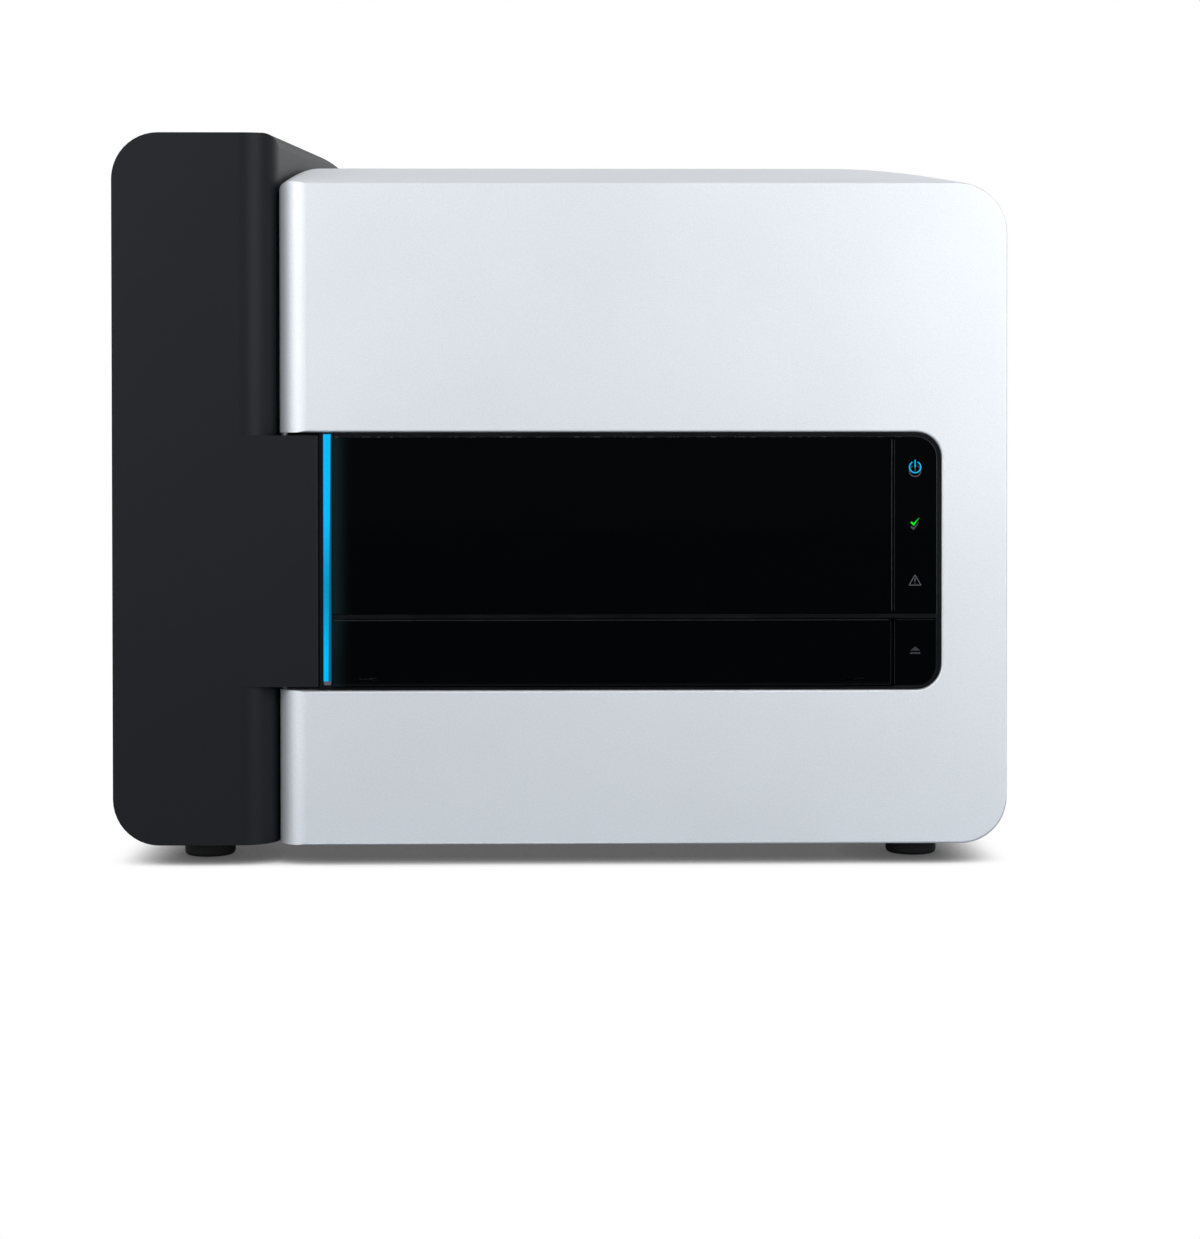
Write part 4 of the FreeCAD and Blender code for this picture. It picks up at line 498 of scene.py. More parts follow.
def sheet_paint():
    """Powder coat on folded sheet."""
    finish = Finish("sheet_paint", metallic=0.15, specular_ior_level=0.45)
    peel = finish.noise(0.0014, detail=2)
    clouds = finish.noise(0.08, detail=3)
    finish.set("Base Color", finish.mix(clouds * 0.6 + peel * 0.4, (0.42, 0.43, 0.45), (0.56, 0.575, 0.60)))
    finish.set("Roughness", finish.spread(peel, 0.3, 0.7, 0.42, 0.6))
    finish.bump(peel, 0.00008, 0.6)
    return finish.material


def board_green():
    """Circuit board with copper tracks under green mask and tinned pads."""
    finish = Finish("board_green", specular_ior_level=0.5)
    tracks = finish.node("ShaderNodeTexBrick", {"offset": 0.37, "offset_frequency": 3}, {
        "Vector": finish.place(), "Scale": 160.0, "Mortar Size": 0.08, "Brick Width": 1.7,
        "Row Height": 0.32, "Color1": (0, 0, 0), "Color2": (0, 0, 0), "Mortar": (1, 1, 1)})["Fac"]
    pads = finish.cells(0.0042) < 0.16
    mask = finish.mix(tracks, (0.006, 0.085, 0.03), (0.02, 0.17, 0.07))
    finish.set("Base Color", finish.mix(pads, mask, (0.55, 0.53, 0.48)))
    finish.set("Metallic", pads * 0.8)
    finish.set("Roughness", finish.spread(finish.noise(0.01), 0.3, 0.7, 0.26, 0.42))
    finish.bump(tracks + pads, 0.00004, 0.5)
    return finish.material


def rubber(name, colour):
    """Dull rubber with pores and scuffs."""
    finish = Finish(name, specular_ior_level=0.3)
    pores = finish.noise(0.0009, detail=4, roughness=0.7)
    scuff = finish.noise(0.02, detail=4)
    finish.set("Base Color", finish.mix(scuff * 0.5 + pores * 0.5, shade(colour, 0.6), shade(colour, 1.5)))
    finish.set("Roughness", finish.spread(pores, 0.3, 0.7, 0.6, 0.85))
    finish.bump(pores, 0.00006, 0.7)
    return finish.material


def symbol_ink_and_glow(name, colour, glow):
    """A drawn symbol, which glows where glow is above nothing: a real backlight on the lit symbols, a painted
    glow on the unlit ones and on the painted reflections.
    """
    finish = Finish(name, roughness=0.3, emission_strength=1.0, specular_ior_level=0.08)
    patch = finish.noise(0.0012, detail=2)
    low, high = shade(colour, 0.82), shade(colour, 1.08)
    finish.set("Base Color", finish.mix(patch, shade(colour, 0.2), shade(colour, 0.4)))
    finish.set("Emission Color", finish.mix(patch, shade(low, glow), shade(high, glow)))
    return finish.material


# Meshes


def finished_piece(name, mesh, material, body):
    """Links a mesh as a named piece that rides on a body and takes the given finish."""
    piece = bpy.data.objects.new(name, mesh)
    bpy.context.scene.collection.objects.link(piece)
    mesh.materials.clear()
    mesh.materials.append(material)
    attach(piece, body)
    return piece


def raised(outlines, front, back):
    """Flat outlines in X and Z as one mesh, from front to back in Y."""
    shape = bmesh.new()
    for points in outlines:
        near = [shape.verts.new((x, front, z)) for x, z in points]
        far = [shape.verts.new((x, back, z)) for x, z in points]
        shape.faces.new(near)
        shape.faces.new(list(reversed(far)))
        for here in range(len(points)):
            after = (here + 1) % len(points)
            shape.faces.new((near[after], near[here], far[here], far[after]))
    bmesh.ops.recalc_face_normals(shape, faces=shape.faces)
    mesh = bpy.data.meshes.new("outline")
    shape.to_mesh(mesh)
    shape.free()
    return mesh


def stroke(points, widths):
    """The outline of a line through points, as wide at each as widths says."""
    left, right = [], []
    for number, (x, z) in enumerate(points):
        before, after = points[max(number - 1, 0)], points[min(number + 1, len(points) - 1)]
        along = Vector((after[0] - before[0], after[1] - before[1])).normalized()
        side = Vector((-along.y, along.x)) * widths[number] / 2
        left.append((x + side.x, z + side.y))
        right.append((x - side.x, z - side.y))
    return left + list(reversed(right))


def arc(x, z, radius, start, end, steps):
    """Points on an arc, in degrees from +X towards +Z."""
    angles = [math.radians(start + (end - start) * step / steps) for step in range(steps + 1)]
    return [(x + radius * math.cos(angle), z + radius * math.sin(angle)) for angle in angles]


def power_outline(x, z, ring, line):
    """A ring open at its top, with a bar through the gap."""
    middle = ring - line / 2
    loop = arc(x, z, middle, 118, 422, 40)
    bar = [(x, z - line * 0.2), (x, z + ring + line * 0.9)]
    return [stroke(loop, [line] * len(loop)), stroke(bar, [line, line])]


def tick_outline(x, z, line):
    """A tick with a short thick arm and a long arm that thins to a point."""
    low = (x - line * 1.1, z - line * 2.9)
    return [[
        (x - line * 4.2, z - line * 0.1), (x - line * 3.0, z + line * 0.8), (x - line * 1.2, z - line * 0.6),
        (x + line * 3.9, z + line * 4.6), low]]


def warning_outline(x, z, line):
    """An upright triangle on its foot, drawn as three lines, with a mark inside."""
    half, tall = line * 5.2, line * 9.0
    corners = [(x - half, z), (x + half, z), (x, z + tall)]
    thin = line * 0.72
    sides = [stroke([corners[i], corners[(i + 1) % 3]], [thin, thin]) for i in range(3)]
    mark = stroke([(x, z + tall * 0.30), (x, z + tall * 0.68)], [line * 0.5, line * 1.0])
    dot = arc(x, z + tall * 0.17, line * 0.42, 0, 330, 11)
    return [*sides, mark, dot]


def eject_outline(x, z, line):
    """A peak over a bar."""
    half, low, high = line * 6.6, z - line * 2.1, z + line * 0.2
    bar = [(x - half, low), (x + half, low), (x + half, high), (x - half, high)]
    peak = [(x - half, z + line * 2.3), (x + half, z + line * 2.3), (x, z + line * 7.6)]
    return [bar, peak]


def lowered(outlines, drop):
    """Outlines moved down, for a symbol's reflection."""
    return [[(x, z - drop) for x, z in points] for points in outlines]


def draw(name, outlines, ink, front, body):
    """A symbol as a thin print on the face at front."""
    return finished_piece(name, raised(outlines, front - PRINT_THICK, front), ink, body)


class Growth(NodeTree):
    """A geometry tree in the making, with a named input for each of its sizes."""

    def __init__(self, name, **sockets):
        super().__init__(bpy.data.node_groups.new(name, "GeometryNodeTree"))
        for label, kind in {"Geometry": "Geometry", **sockets}.items():
            self.tree.interface.new_socket(label, in_out="INPUT", socket_type=f"NodeSocket{kind}")
        self.tree.interface.new_socket("Geometry", in_out="OUTPUT", socket_type="NodeSocketGeometry")
        group = self.tree.nodes.new("NodeGroupInput")
        self.inputs = {out.name: Signal(self, out) for out in group.outputs if out.name}

    def join(self, *parts):
        """Parts as one geometry."""
        made = self.tree.nodes.new("GeometryNodeJoinGeometry")
        for part in parts:
            self.feed(made.inputs["Geometry"], part)
        return Signal(self, made.outputs["Geometry"])

    def moved(self, part, place=(0, 0, 0), turn=(0, 0, 0)):
        """A part turned, in radians, and then moved."""
        return self.node("GeometryNodeTransform", inputs={
            "Geometry": part, "Translation": place, "Rotation": turn})["Geometry"]

    def vector(self, x=0.0, y=0.0, z=0.0):
        """A vector from numbers or signals."""
        return self.node("ShaderNodeCombineXYZ", inputs={"X": x, "Y": y, "Z": z})["Vector"]

    def path(self):
        """The base mesh's edges as a curve."""
        return self.node("GeometryNodeMeshToCurve", inputs={"Mesh": self.inputs["Geometry"]})["Curve"]

    def tube(self, path, width, sides):
        """A round tube with closed ends along a curve."""
        section = self.node("GeometryNodeCurvePrimitiveCircle", {"mode": "RADIUS"}, {
            "Resolution": sides, "Radius": width / 2})["Curve"]
        return self.node("GeometryNodeCurveToMesh", inputs={
            "Curve": path, "Profile Curve": section, "Fill Caps": True})["Mesh"]

    def placed(self, part, points):
        """A copy of a part at each point."""
        return self.node("GeometryNodeInstanceOnPoints", inputs={
            "Points": points, "Instance": part})["Instances"]

    def end(self, geometry, material):
        """Makes the instances real, gives them a finish and sends them out."""
        real = self.node("GeometryNodeRealizeInstances", inputs={"Geometry": geometry})["Geometry"]
        dressed = self.node("GeometryNodeSetMaterial", inputs={
            "Geometry": real, "Material": material})["Geometry"]
        self.feed(self.tree.nodes.new("NodeGroupOutput").inputs["Geometry"], dressed)

    def grown(self, base, **values):
        """The plain mesh that the tree makes of a base mesh."""
        holder = bpy.data.objects.new("growing", base)
        bpy.context.scene.collection.objects.link(holder)
        modifier = holder.modifiers.new("growth", "NODES")
        modifier.node_group = self.tree
        for item in self.tree.interface.items_tree:
            if item.in_out == "INPUT" and item.name in values:
                modifier[item.identifier] = values[item.name]
        shape = holder.evaluated_get(bpy.context.evaluated_depsgraph_get())
        mesh = bpy.data.meshes.new_from_object(shape)
        holder.modifiers.remove(modifier)
        bpy.data.objects.remove(holder)
        return mesh


def points_mesh(points, joined=False):
    """A mesh of bare points, joined in a row where joined is true."""
    mesh = bpy.data.meshes.new("points")
    links = len(points) - 1 if joined else 0
    mesh.from_pydata(points, [(number, number + 1) for number in range(links)], [])
    return mesh


def bead(name, points, width, material, body, slot):
    """A round bead of a given width along a path."""
    growth = Growth("bead", Width="Float", Sides="Int")
    tube = growth.tube(growth.path(), growth.inputs["Width"], growth.inputs["Sides"])
    smooth = growth.node("GeometryNodeSetShadeSmooth", inputs={"Geometry": tube})["Geometry"]
    growth.end(smooth, material)
    mesh = growth.grown(points_mesh(points, True), Width=width, Sides=12)
    return finished_piece(name, mesh, material, body)


def cross_screws(name, places, sizes, material, body):
    """Screws with a tapered head and a cross recess, pointing to the front from each place."""
    growth = Growth("cross_screw", Head="Float", Shank="Float", Reach="Float")
    wide, thin, reach = growth.inputs["Head"], growth.inputs["Shank"], growth.inputs["Reach"]
    tall, long, narrow = wide * 0.34, wide * 0.46, wide * 0.11
    cap = growth.node("GeometryNodeMeshCone", inputs={
        "Vertices": 32, "Radius Top": wide * 0.33, "Radius Bottom": wide / 2, "Depth": tall})["Mesh"]
    arms = [growth.node("GeometryNodeMeshCube", inputs={"Size": size})["Mesh"] for size in (
        growth.vector(long, narrow, tall), growth.vector(narrow, long, tall))]
    recess = growth.moved(growth.join(*arms), growth.vector(z=tall * 1.02))
    topped = growth.node("GeometryNodeMeshBoolean", {"operation": "DIFFERENCE", "solver": "EXACT"}, {
        "Mesh 1": cap, "Mesh 2": recess, "Self Intersection": True})["Mesh"]
    stem = growth.node("GeometryNodeMeshCylinder", inputs={
        "Vertices": 16, "Radius": thin / 2, "Depth": reach})["Mesh"]
    stem = growth.moved(stem, growth.vector(z=reach * -0.5))
    screw = growth.moved(growth.join(topped, stem), turn=(-math.pi / 2, 0, 0))
    growth.end(growth.placed(screw, growth.inputs["Geometry"]), material)
    mesh = growth.grown(points_mesh(places), Head=sizes.head, Shank=sizes.shank, Reach=sizes.reach)
    return finished_piece(name, mesh, material, body)


def coil_spring(name, low, high, turns, wire, material, body):
    """A coil spring that fills a box and runs along Y."""
    growth = Growth("coil", Turns="Float", Coil="Float", Wire="Float", Long="Float")
    sizes = growth.inputs
    path = growth.node("GeometryNodeCurveSpiral", inputs={
        "Resolution": 20, "Rotations": sizes["Turns"], "Start Radius": sizes["Coil"],
        "End Radius": sizes["Coil"], "Height": sizes["Long"]})["Curve"]
    tube = growth.tube(path, sizes["Wire"], 10)
    lying = growth.moved(tube, growth.vector(y=sizes["Wire"] / 2), (-math.pi / 2, 0, 0))
    growth.end(growth.placed(lying, growth.inputs["Geometry"]), material)
    start = ((low.x + high.x) / 2, low.y, (low.z + high.z) / 2)
    coil, long = (high.x - low.x - wire) / 2, high.y - low.y - wire
    mesh = growth.grown(points_mesh([start]), Turns=turns, Coil=coil, Wire=wire, Long=long)
    return finished_piece(name, mesh, material, body)


def spring_contacts(name, path, count, pitch, width, material, body):
    """A row of bent wire contacts side by side."""
    growth = Growth("contacts", Count="Int", Pitch="Float", Width="Float")
    wire = growth.tube(growth.path(), growth.inputs["Width"], 8)
    step = growth.inputs["Pitch"]
    start = (growth.inputs["Count"] - 1) * step * -0.5
    places = growth.node("GeometryNodeMeshLine", {"mode": "OFFSET"}, {
        "Count": growth.inputs["Count"], "Start Location": growth.vector(x=start),
        "Offset": growth.vector(x=step)})["Mesh"]
    growth.end(growth.placed(wire, places), material)
    mesh = growth.grown(points_mesh(path, True), Count=count, Pitch=pitch, Width=width)
    return finished_piece(name, mesh, material, body)


class ScannerPiece:
    """What every step's operator shares."""

    bl_options = {"REGISTER", "UNDO"}


class SCANNER_OT_paintwork(ScannerPiece, bpy.types.Operator):
    """Paint the silver front and cover and the charcoal side module"""

    bl_idname = "scanner.paintwork"
    bl_label = "Paintwork"

    def execute(self, context):
        paint(silver_paint(), "front_fascia", "main_cover")
        paint(charcoal_paint(), "side_module_shell")
        return {"FINISHED"}


class SCANNER_OT_window(ScannerPiece, bpy.types.Operator):
    """Finish the black frame, the glass, the flap, the button and the light strip"""

    bl_idname = "scanner.window"
    bl_label = "Window"

    def execute(self, context):
        moulding = black_moulding("black_frame", (0.0028, 0.0031, 0.0040), 0.3, 0.44, gloss=0.1)
        paint(moulding, "window_frame")
        paint(black_gloss("black_glass", PANE_LOW.x), "window_glass")
        paint(black_gloss("black_flap", FLAP_LOW.x), "tray_door")
        paint(black_gloss("black_panel"), "status_panel", "eject_button")
        paint(lit_strip(), "light_pipe")
        return {"FINISHED"}


class SCANNER_OT_window_bead(ScannerPiece, bpy.types.Operator):
    """Lay the bead round the window, and the polished edges of the glass, column, button and flap"""

    bl_idname = "scanner.window_bead"
    bl_label = "Window bead"

    def execute(self, context):
        sizes = settings().fixings
        left, right = PANE_LOW.x, COLUMN_HIGH.x + sizes.joint / 2
        low, high = FLAP_LOW.z - sizes.joint / 2, PANE_HIGH.z + sizes.joint / 2
        turn, front = sizes.corner, PANE_LOW.y - sizes.bead / 2
        upper = arc(right - turn, high - turn, turn, 90, 0, 12)
        lower = arc(right - turn, low + turn, turn, 0, -90, 12)
        side = [(x, front, z) for x, z in [*upper, *lower, (BUTTON_LOW.x, low)]]
        plain = black_moulding("bead_black", (0.009, 0.0095, 0.011), 0.12, 0.3, 0.0006, gloss=0.3)
        bead("window_bead", side, sizes.bead, plain, "housing", "black_frame")
        top = [(x, front, high) for x in (left, right - turn)]
        # The top bead carries painted highlights in specks along its edge.
        bead("top_bead", top, sizes.bead, painted_glint_bead(), "housing", "black_frame")
        self.edges(sizes)
        return {"FINISHED"}

    @staticmethod
    def edges(sizes):
        """Polished edges that catch the light along the seams. The bright copy of their moulding is paler
        than the dim one, a painted highlight on the glass's right edge and the flap's top edge.
        """
        # A paler copy of the edge moulding: its colour paints a highlight.
        bright = black_moulding("edge_bright", (0.016, 0.017, 0.019), 0.2, 0.34, 0.002, gloss=0.3)
        dim = black_moulding("edge_dim", (0.004, 0.0042, 0.005), 0.2, 0.34, 0.002, gloss=0.2)
        inset, spare = sizes.edge * 0.3, sizes.bead * 3
        for name, box, body, side, material in (
                ("glass_edge", (PANE_LOW, PANE_HIGH), "housing", "right", bright),
                ("column_edge", (COLUMN_LOW, COLUMN_HIGH), "housing", "left", dim),
                ("flap_edge", (FLAP_LOW, FLAP_HIGH), "tray_door", "top", bright),
                ("flap_end", (FLAP_LOW, FLAP_HIGH), "tray_door", "right", dim),
                ("button_edge", (BUTTON_LOW, BUTTON_HIGH), "eject_button", "top", dim),
                ("button_end", (BUTTON_LOW, BUTTON_HIGH), "eject_button", "left", dim)):
            near, far = box
            if side == "top":
                ends = [(near.x + spare, far.z - spare / 2), (far.x - spare, far.z - spare / 2)]
            else:
                x = near.x + inset + sizes.joint if side == "left" else far.x - inset
                ends = [(x, near.z + spare), (x, far.z - spare)]
            path = [(x, near.y + inset, z) for x, z in ends]
            slot = "black_glass" if body == "housing" else "black_gloss"
            bead(name, path, sizes.edge, material, body, slot)


class SCANNER_OT_symbols(ScannerPiece, bpy.types.Operator):
    """Draw the lit and unlit symbols and their reflections in the glass"""

    bl_idname = "scanner.symbols"
    bl_label = "Symbols"

    def execute(self, context):
        sizes, colours = settings().symbols, settings().colours
        x = (COLUMN_LOW.x + COLUMN_HIGH.x) / 2
        line, base = sizes.line, COLUMN_LOW.z
        power = power_outline(x, base + sizes.power_height, sizes.ring, line)
        ready = tick_outline(x, base + sizes.ready_height, line)
        warning = warning_outline(x, base + sizes.warning_height, line)
        eject = eject_outline(x, (BUTTON_LOW.z + BUTTON_HIGH.z) / 2, line * 0.68)
        glass = COLUMN_LOW.y
        # Painted reflections: faint glowing copies of the power and ready symbols, drawn lower on the glass.
        reflection_paint = symbol_ink_and_glow("ghost_ink", shade(colours.printed, 0.75), 0.75)
        for name, outlines, drop in (
                ("power_ghost", power, sizes.reflection_drop), ("ready_ghost", ready, sizes.reflection_drop * 1.15)):
            draw(name, lowered(outlines, drop), reflection_paint, glass, "housing")
        for name, outlines, colour in (("power", power, colours.power), ("ready", ready, colours.ready)):
            ink = symbol_ink_and_glow(f"{name}_ink", colour, 1.0)
            draw(f"{name}_symbol", outlines, ink, glass - PRINT_LIFT, "housing")
        # The unlit warning and eject symbols glow too: a painted glow over their print.
        ink = symbol_ink_and_glow("warning_ink", colours.printed, 0.85)
        draw("warning_symbol", warning, ink, glass, "housing")
        ink = symbol_ink_and_glow("eject_ink", colours.printed, 0.14)
        draw("eject_symbol", eject, ink, BUTTON_LOW.y, "eject_button")
        return {"FINISHED"}


class SCANNER_OT_loader(ScannerPiece, bpy.types.Operator):
    """Finish the slide tray, its rails, springs, belt and motor"""

    bl_idname = "scanner.loader"
    bl_label = "Loader"

    def execute(self, context):
        black = metal("anodised_black", (0.03, 0.03, 0.034), 0.36, 0.0004, (1, 0.05, 1), metallic=0.6)
        paint(black, "slide_tray", "objective_lens", "filter_wheel", "green_detector", "red_detector")
        steel = metal("bright_steel", (0.56, 0.56, 0.57), 0.24, 0.0006, (1, 0.08, 1))
        paint(steel, "foot_screws", "slide_springs",
              "loader_rails", "head_rails", "lead_screw", "board_spacers", "loader_blocks")
        milled = metal("milled_aluminium", (0.66, 0.665, 0.675), 0.34, 0.0009, (1, 0.15, 1))
        paint(milled, "optical_bench", "scan_bridge", "loader_carriage", "head_carriage", "objective_block",
              "beam_block", "idler_post", "drive_pulley", "idler_pulley")
        paint(metal("motor_black", (0.028, 0.028, 0.03), 0.42, 0.0008, metallic=0.3),
              "loader_motor", "head_motor", "filter_motor")
        paint(black_gloss("blackened_hinge"), "door_brackets", "door_pins")
        paint(rubber("toothed_belt", (0.014, 0.014, 0.015)), "loader_belt")
        return {"FINISHED"}


class SCANNER_OT_electronics(ScannerPiece, bpy.types.Operator):
    """Finish the boards, supply, lasers, floors and rear panels, and wind the button's spring"""

    bl_idname = "scanner.electronics"
    bl_label = "Electronics"

    def execute(self, context):
        paint(board_green(), "status_board", "light_board", "main_board")
        self.button_spring()
        paint(metal("laser_grey", (0.12, 0.122, 0.13), 0.4, 0.0007, metallic=0.7), "green_laser", "red_laser")
        paint(metal("galvanised", (0.5, 0.51, 0.52), 0.36, 0.006), "power_supply")
        paint(sheet_paint(), "chassis_base", "side_bay_floor", "main_rear_panel", "side_rear_panel")
        return {"FINISHED"}

    @staticmethod
    def button_spring():
        """The eject button's return spring, in place of the model's."""
        sizes = settings().fixings
        low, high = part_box("eject_spring")
        wire = metal("spring_wire", (0.5, 0.5, 0.51), 0.28, 0.0005)
        spring = coil_spring("button_spring", low, high, sizes.turns, sizes.wire, wire, "housing")
        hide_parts("eject_spring")
        press = next(joint for joint in frame["joints"] if joint["name"] == "eject_press")["range_m"][1]
        1 - press / (high.y - low.y)
        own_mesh(spring)


class SCANNER_OT_rear_fixings(ScannerPiece, bpy.types.Operator):
    """Make the rear panels' cross-head screws, the socket's contacts and the marks on the rocker"""

    bl_idname = "scanner.rear_fixings"
    bl_label = "Rear fixings"

    def execute(self, context):
        sizes = settings().fixings
        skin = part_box("main_rear_panel")[1].y
        places = [(x, skin, z) for bay in REAR_SCREWS for x in bay["across"] for z in bay["up"]]
        steel = metal("screw_steel", (0.52, 0.52, 0.53), 0.3, 0.0005)
        screws = cross_screws("cross_screws", places, sizes, steel, "housing")
        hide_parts("rear_screws")
        self.contacts(sizes)
        self.rocker_marks()
        return {"FINISHED"}

    @staticmethod
    def contacts(sizes):
        """The network socket's row of gold contacts."""
        low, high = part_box("data_ports")
        middle, top = (low.x + high.x) / 2 - SOCKET_LEFT, (low.z + high.z) / 2 + CONTACT_TOP
        path = [(middle, high.y - deep, top - drop) for deep, drop in CONTACT_BEND]
        gold = metal("contact_gold", (0.83, 0.58, 0.2), 0.25, 0.0004)
        spring_contacts("socket_contacts", path, sizes.contacts, CONTACT_PITCH, sizes.contact, gold,
                        "housing")

    @staticmethod
    def rocker_marks():
        """A bar on the rocker's raised half and a ring on its lowered half, each flat on its own slope."""
        low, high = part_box("power_rocker")
        x = (low.x + high.x) / 2
        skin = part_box("main_rear_panel")[1].y
        path = arc(0, 0, RING_RADIUS, 0, 350, 35)
        path.append(path[0])
        ring = stroke(path, [RING_LINE] * len(path))
        wide, tall = BAR_HALF
        bar = [(-wide, -tall), (wide, -tall), (wide, tall), (-wide, tall)]
        white = symbol_ink_and_glow("mark_white", (0.75, 0.75, 0.75), 0.0)
        for name, shape, middle, slope in (
                ("rocker_bar", bar, (skin + 0.0012, ROCKER_Z + 0.0047), (0.0040, 0.0094)),
                ("rocker_ring", ring, (skin + 0.0001, ROCKER_Z - 0.0050), (-0.0018, 0.0100))):
            along = Vector((0, *slope)).normalized()
            out = Vector((0, along.z, -along.y))
            mesh = raised([shape], -PRINT_THICK, PRINT_THICK / 2)
            turn = Matrix((Vector((-1, 0, 0)), -out, along)).transposed().to_4x4()
            mesh.transform(Matrix.Translation((x, *middle)) @ turn)
            finished_piece(name, mesh, white, "power_rocker")


class SCANNER_OT_rear(ScannerPiece, bpy.types.Operator):
    """Finish the fan, the inlet, the switch, the sockets and the feet"""

    bl_idname = "scanner.rear"
    bl_label = "Rear and feet"

    def execute(self, context):
        moulding = black_moulding("switch_black", (0.015, 0.015, 0.016), 0.34, 0.5)
        paint(moulding, "eject_switch", "power_inlet", "power_switch_frame", "power_rocker", "fan_frame",
              "fan_rotor")
        paint(metal("plated", (0.6, 0.6, 0.6), 0.26, 0.001), "data_ports")
        feet = ("foot_front_left", "foot_front_right", "foot_rear_left", "foot_rear_right", "bench_mounts")
        paint(rubber("foot_rubber", (0.011, 0.011, 0.012)), *feet)
        return {"FINISHED"}


def area_lamp(name, place, wide, high, power):
    """A soft lamp that faces the scanner."""
    lamp = bpy.data.lights.new(name, "AREA")
    lamp.shape = "RECTANGLE"
    lamp.size, lamp.size_y, lamp.energy = wide, high, power
    holder = bpy.data.objects.new(name, lamp)
    bpy.context.scene.collection.objects.link(holder)
    aim = Vector(LAMPS_AIM) - Vector(place)
    holder.matrix_world = Matrix.Translation(place) @ aim.to_track_quat("-Z", "Y").to_matrix().to_4x4()


def studio_world():
    """Dim room light, and white for what the camera sees straight or by way of gloss behind the scanner."""
    world = bpy.data.worlds.new("studio")
    bpy.context.scene.world = world
    world.use_nodes = True
    sky = NodeTree(world.node_tree)
    sky.tree.nodes.clear()
    y = sky.axes(sky.node("ShaderNodeTexCoord")["Generated"])["Y"]
    seen = sky.seen_white(sky.node("ShaderNodeLightPath"), sky.spread(y, **WHITE_BEHIND))
    room, white = (sky.node("ShaderNodeBackground", inputs={
        "Color": (1, 1, 1), "Strength": strength})["Background"] for strength in (ROOM_LIGHT, 1.0))
    both = sky.node("ShaderNodeMixShader", inputs={"Fac": seen, 1: room, 2: white})["Shader"]
    sky.node("ShaderNodeOutputWorld", inputs={"Surface": both})


def floor_paint():
    """Pale floor that looks white from the camera and keeps the scanner's shadow where it is close."""
    finish = Finish("studio_floor")
    finish.tree.nodes.remove(finish.shader)
    path = finish.node("ShaderNodeLightPath")
    near = finish.node("ShaderNodeAmbientOcclusion", {"samples": 16}, {"Distance": SHADOW_REACH})["AO"]
    shadow = finish.spread(near, 0.05, 0.75, 0.07, 1.0)
    y = finish.axes(finish.place())["Y"]
    front = finish.spread(y, **FLOOR_NEAR) + finish.spread(y, **FLOOR_FAR)
    straight = path["Is Camera Ray"]
    level = shadow * (straight + (1 - straight) * front)
    bare = finish.node("ShaderNodeBsdfDiffuse", inputs={"Color": (0.28, 0.31, 0.35)})["BSDF"]
    tint = finish.mix(straight, (0.8, 0.91, 1.0), (1, 1, 1))
    white = finish.node("ShaderNodeEmission", inputs={"Color": tint, "Strength": level})["Emission"]
    seen = finish.seen_white(path, 1.0)
    both = finish.node("ShaderNodeMixShader", inputs={"Fac": seen, 1: bare, 2: white})["Shader"]
    finish.feed(finish.tree.nodes["Material Output"].inputs["Surface"], both)
    return finish.material


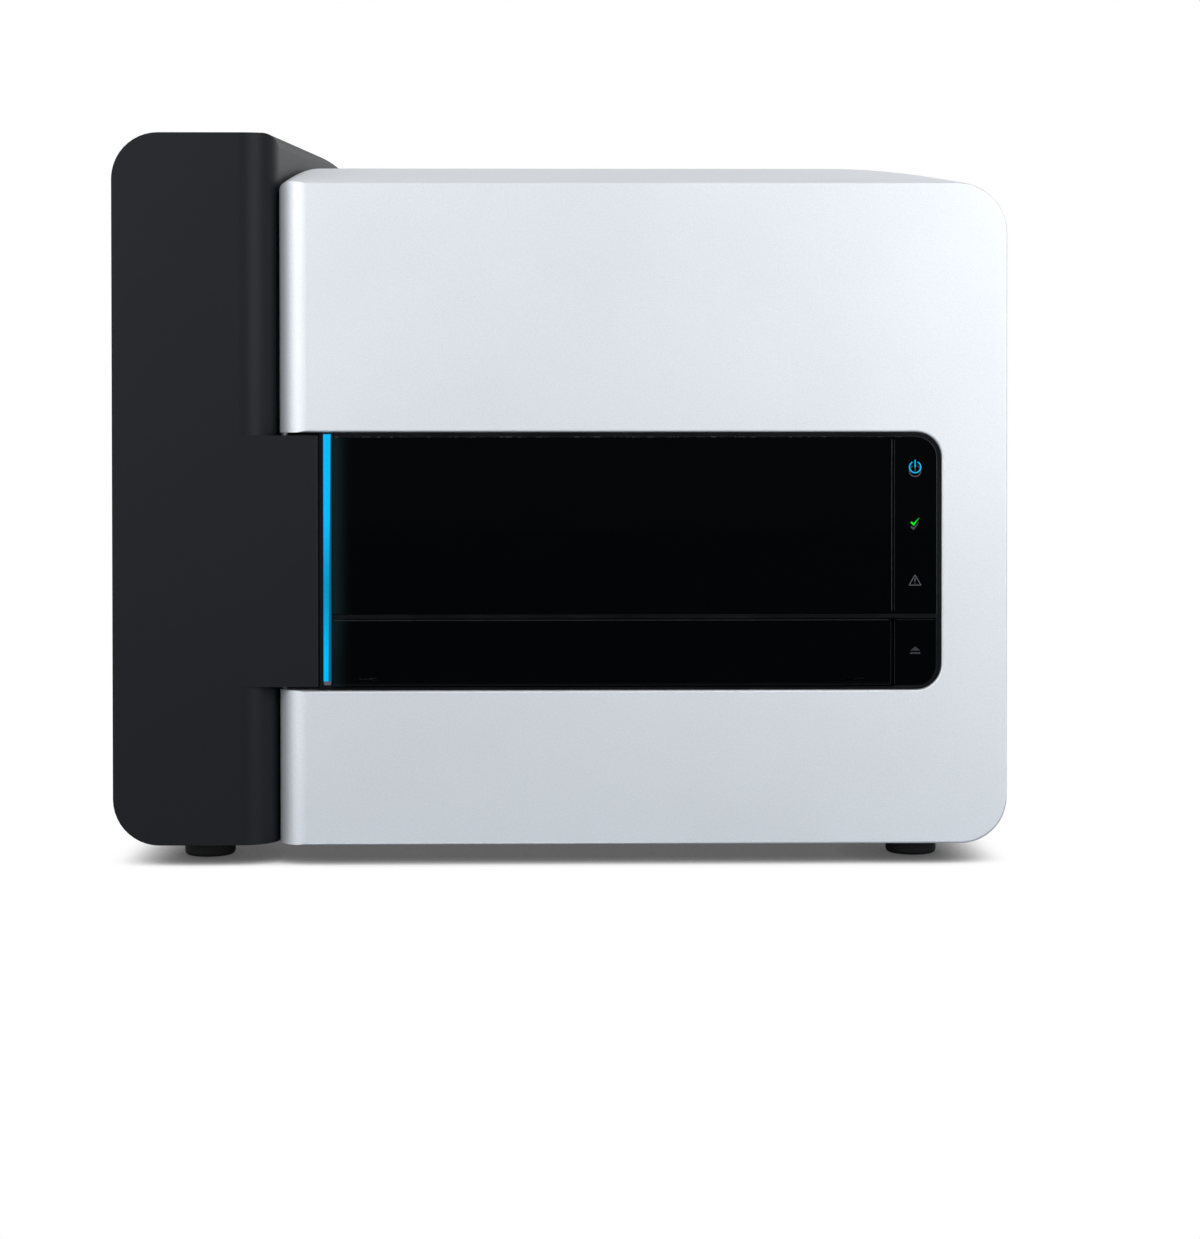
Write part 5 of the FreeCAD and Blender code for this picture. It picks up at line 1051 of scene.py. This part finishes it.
class SCANNER_OT_studio(ScannerPiece, bpy.types.Operator):
    """Lay the floor, hang the lamps and set the camera at the photograph's view"""

    bl_idname = "scanner.studio"
    bl_label = "Studio"

    def execute(self, context):
        sizes = settings().studio
        half = sizes.floor / 2
        corners = [(-half, -half, 0), (half, -half, 0), (half, half, 0), (-half, half, 0)]
        shape = bmesh.new()
        shape.faces.new([shape.verts.new(corner) for corner in corners])
        mesh = bpy.data.meshes.new("floor")
        shape.to_mesh(mesh)
        shape.free()
        floor = bpy.data.objects.new("floor", mesh)
        context.scene.collection.objects.link(floor)
        mesh.materials.append(floor_paint())
        for name, (place, wide, high, power) in LAMPS.items():
            area_lamp(name, place, wide, high, getattr(sizes, power))
        studio_world()
        self.camera(context)
        context.scene.view_settings.view_transform = "Standard"
        return {"FINISHED"}

    @staticmethod
    def camera(context):
        """A long lens at window height, turned slightly down, with the rest of the framing left to shift."""
        tilt, turn, roll = (math.radians(angle) for angle in (CAMERA_TILT, CAMERA_TURN, CAMERA_ROLL))
        data = bpy.data.cameras.new("camera")
        data.sensor_width = SENSOR_WIDE
        data.sensor_fit = "AUTO"
        data.lens = PHOTO_FOCUS * SENSOR_WIDE / PHOTO_HIGH
        axis_row = PHOTO_HORIZON + PHOTO_FOCUS * math.tan(tilt)
        data.shift_y = (axis_row - PHOTO_HIGH / 2) / PHOTO_HIGH
        holder = bpy.data.objects.new("camera", data)
        context.scene.collection.objects.link(holder)
        aim = Matrix.Rotation(-turn, 4, "Z") @ Matrix.Rotation(math.pi / 2 - tilt, 4, "X")
        holder.matrix_world = Matrix.Translation(CAMERA_PLACE) @ aim @ Matrix.Rotation(roll, 4, "Z")
        context.scene.camera = holder


class SCANNER_PT_pieces(bpy.types.Panel):
    """Lists the steps that finish the scanner"""

    bl_idname = "SCANNER_PT_pieces"
    bl_label = "Scanner"
    bl_space_type = "VIEW_3D"
    bl_region_type = "UI"
    bl_category = "Scanner"

    def draw(self, context):
        column = self.layout.column()
        for step in STEPS:
            column.operator(step.bl_idname)


STEPS = (
    SCANNER_OT_paintwork, SCANNER_OT_window, SCANNER_OT_window_bead, SCANNER_OT_symbols, SCANNER_OT_loader,
    SCANNER_OT_electronics, SCANNER_OT_rear, SCANNER_OT_rear_fixings, SCANNER_OT_studio)
GROUPS = (ScannerColours, ScannerGrain, ScannerSymbols, ScannerFixings, ScannerStudio, ScannerSettings)


def register():
    for group in (*GROUPS, *STEPS, SCANNER_PT_pieces):
        bpy.utils.register_class(group)
    bpy.types.Scene.scanner = PointerProperty(type=ScannerSettings)


def unregister():
    del bpy.types.Scene.scanner
    for group in reversed((*GROUPS, *STEPS, SCANNER_PT_pieces)):
        bpy.utils.unregister_class(group)


def main():
    register()
    bpy.ops.scanner.paintwork()
    bpy.ops.scanner.window()
    bpy.ops.scanner.window_bead()
    bpy.ops.scanner.symbols()
    bpy.ops.scanner.loader()
    bpy.ops.scanner.electronics()
    bpy.ops.scanner.rear()
    bpy.ops.scanner.rear_fixings()
    bpy.ops.scanner.studio()


if __name__ == "__main__":
    main()
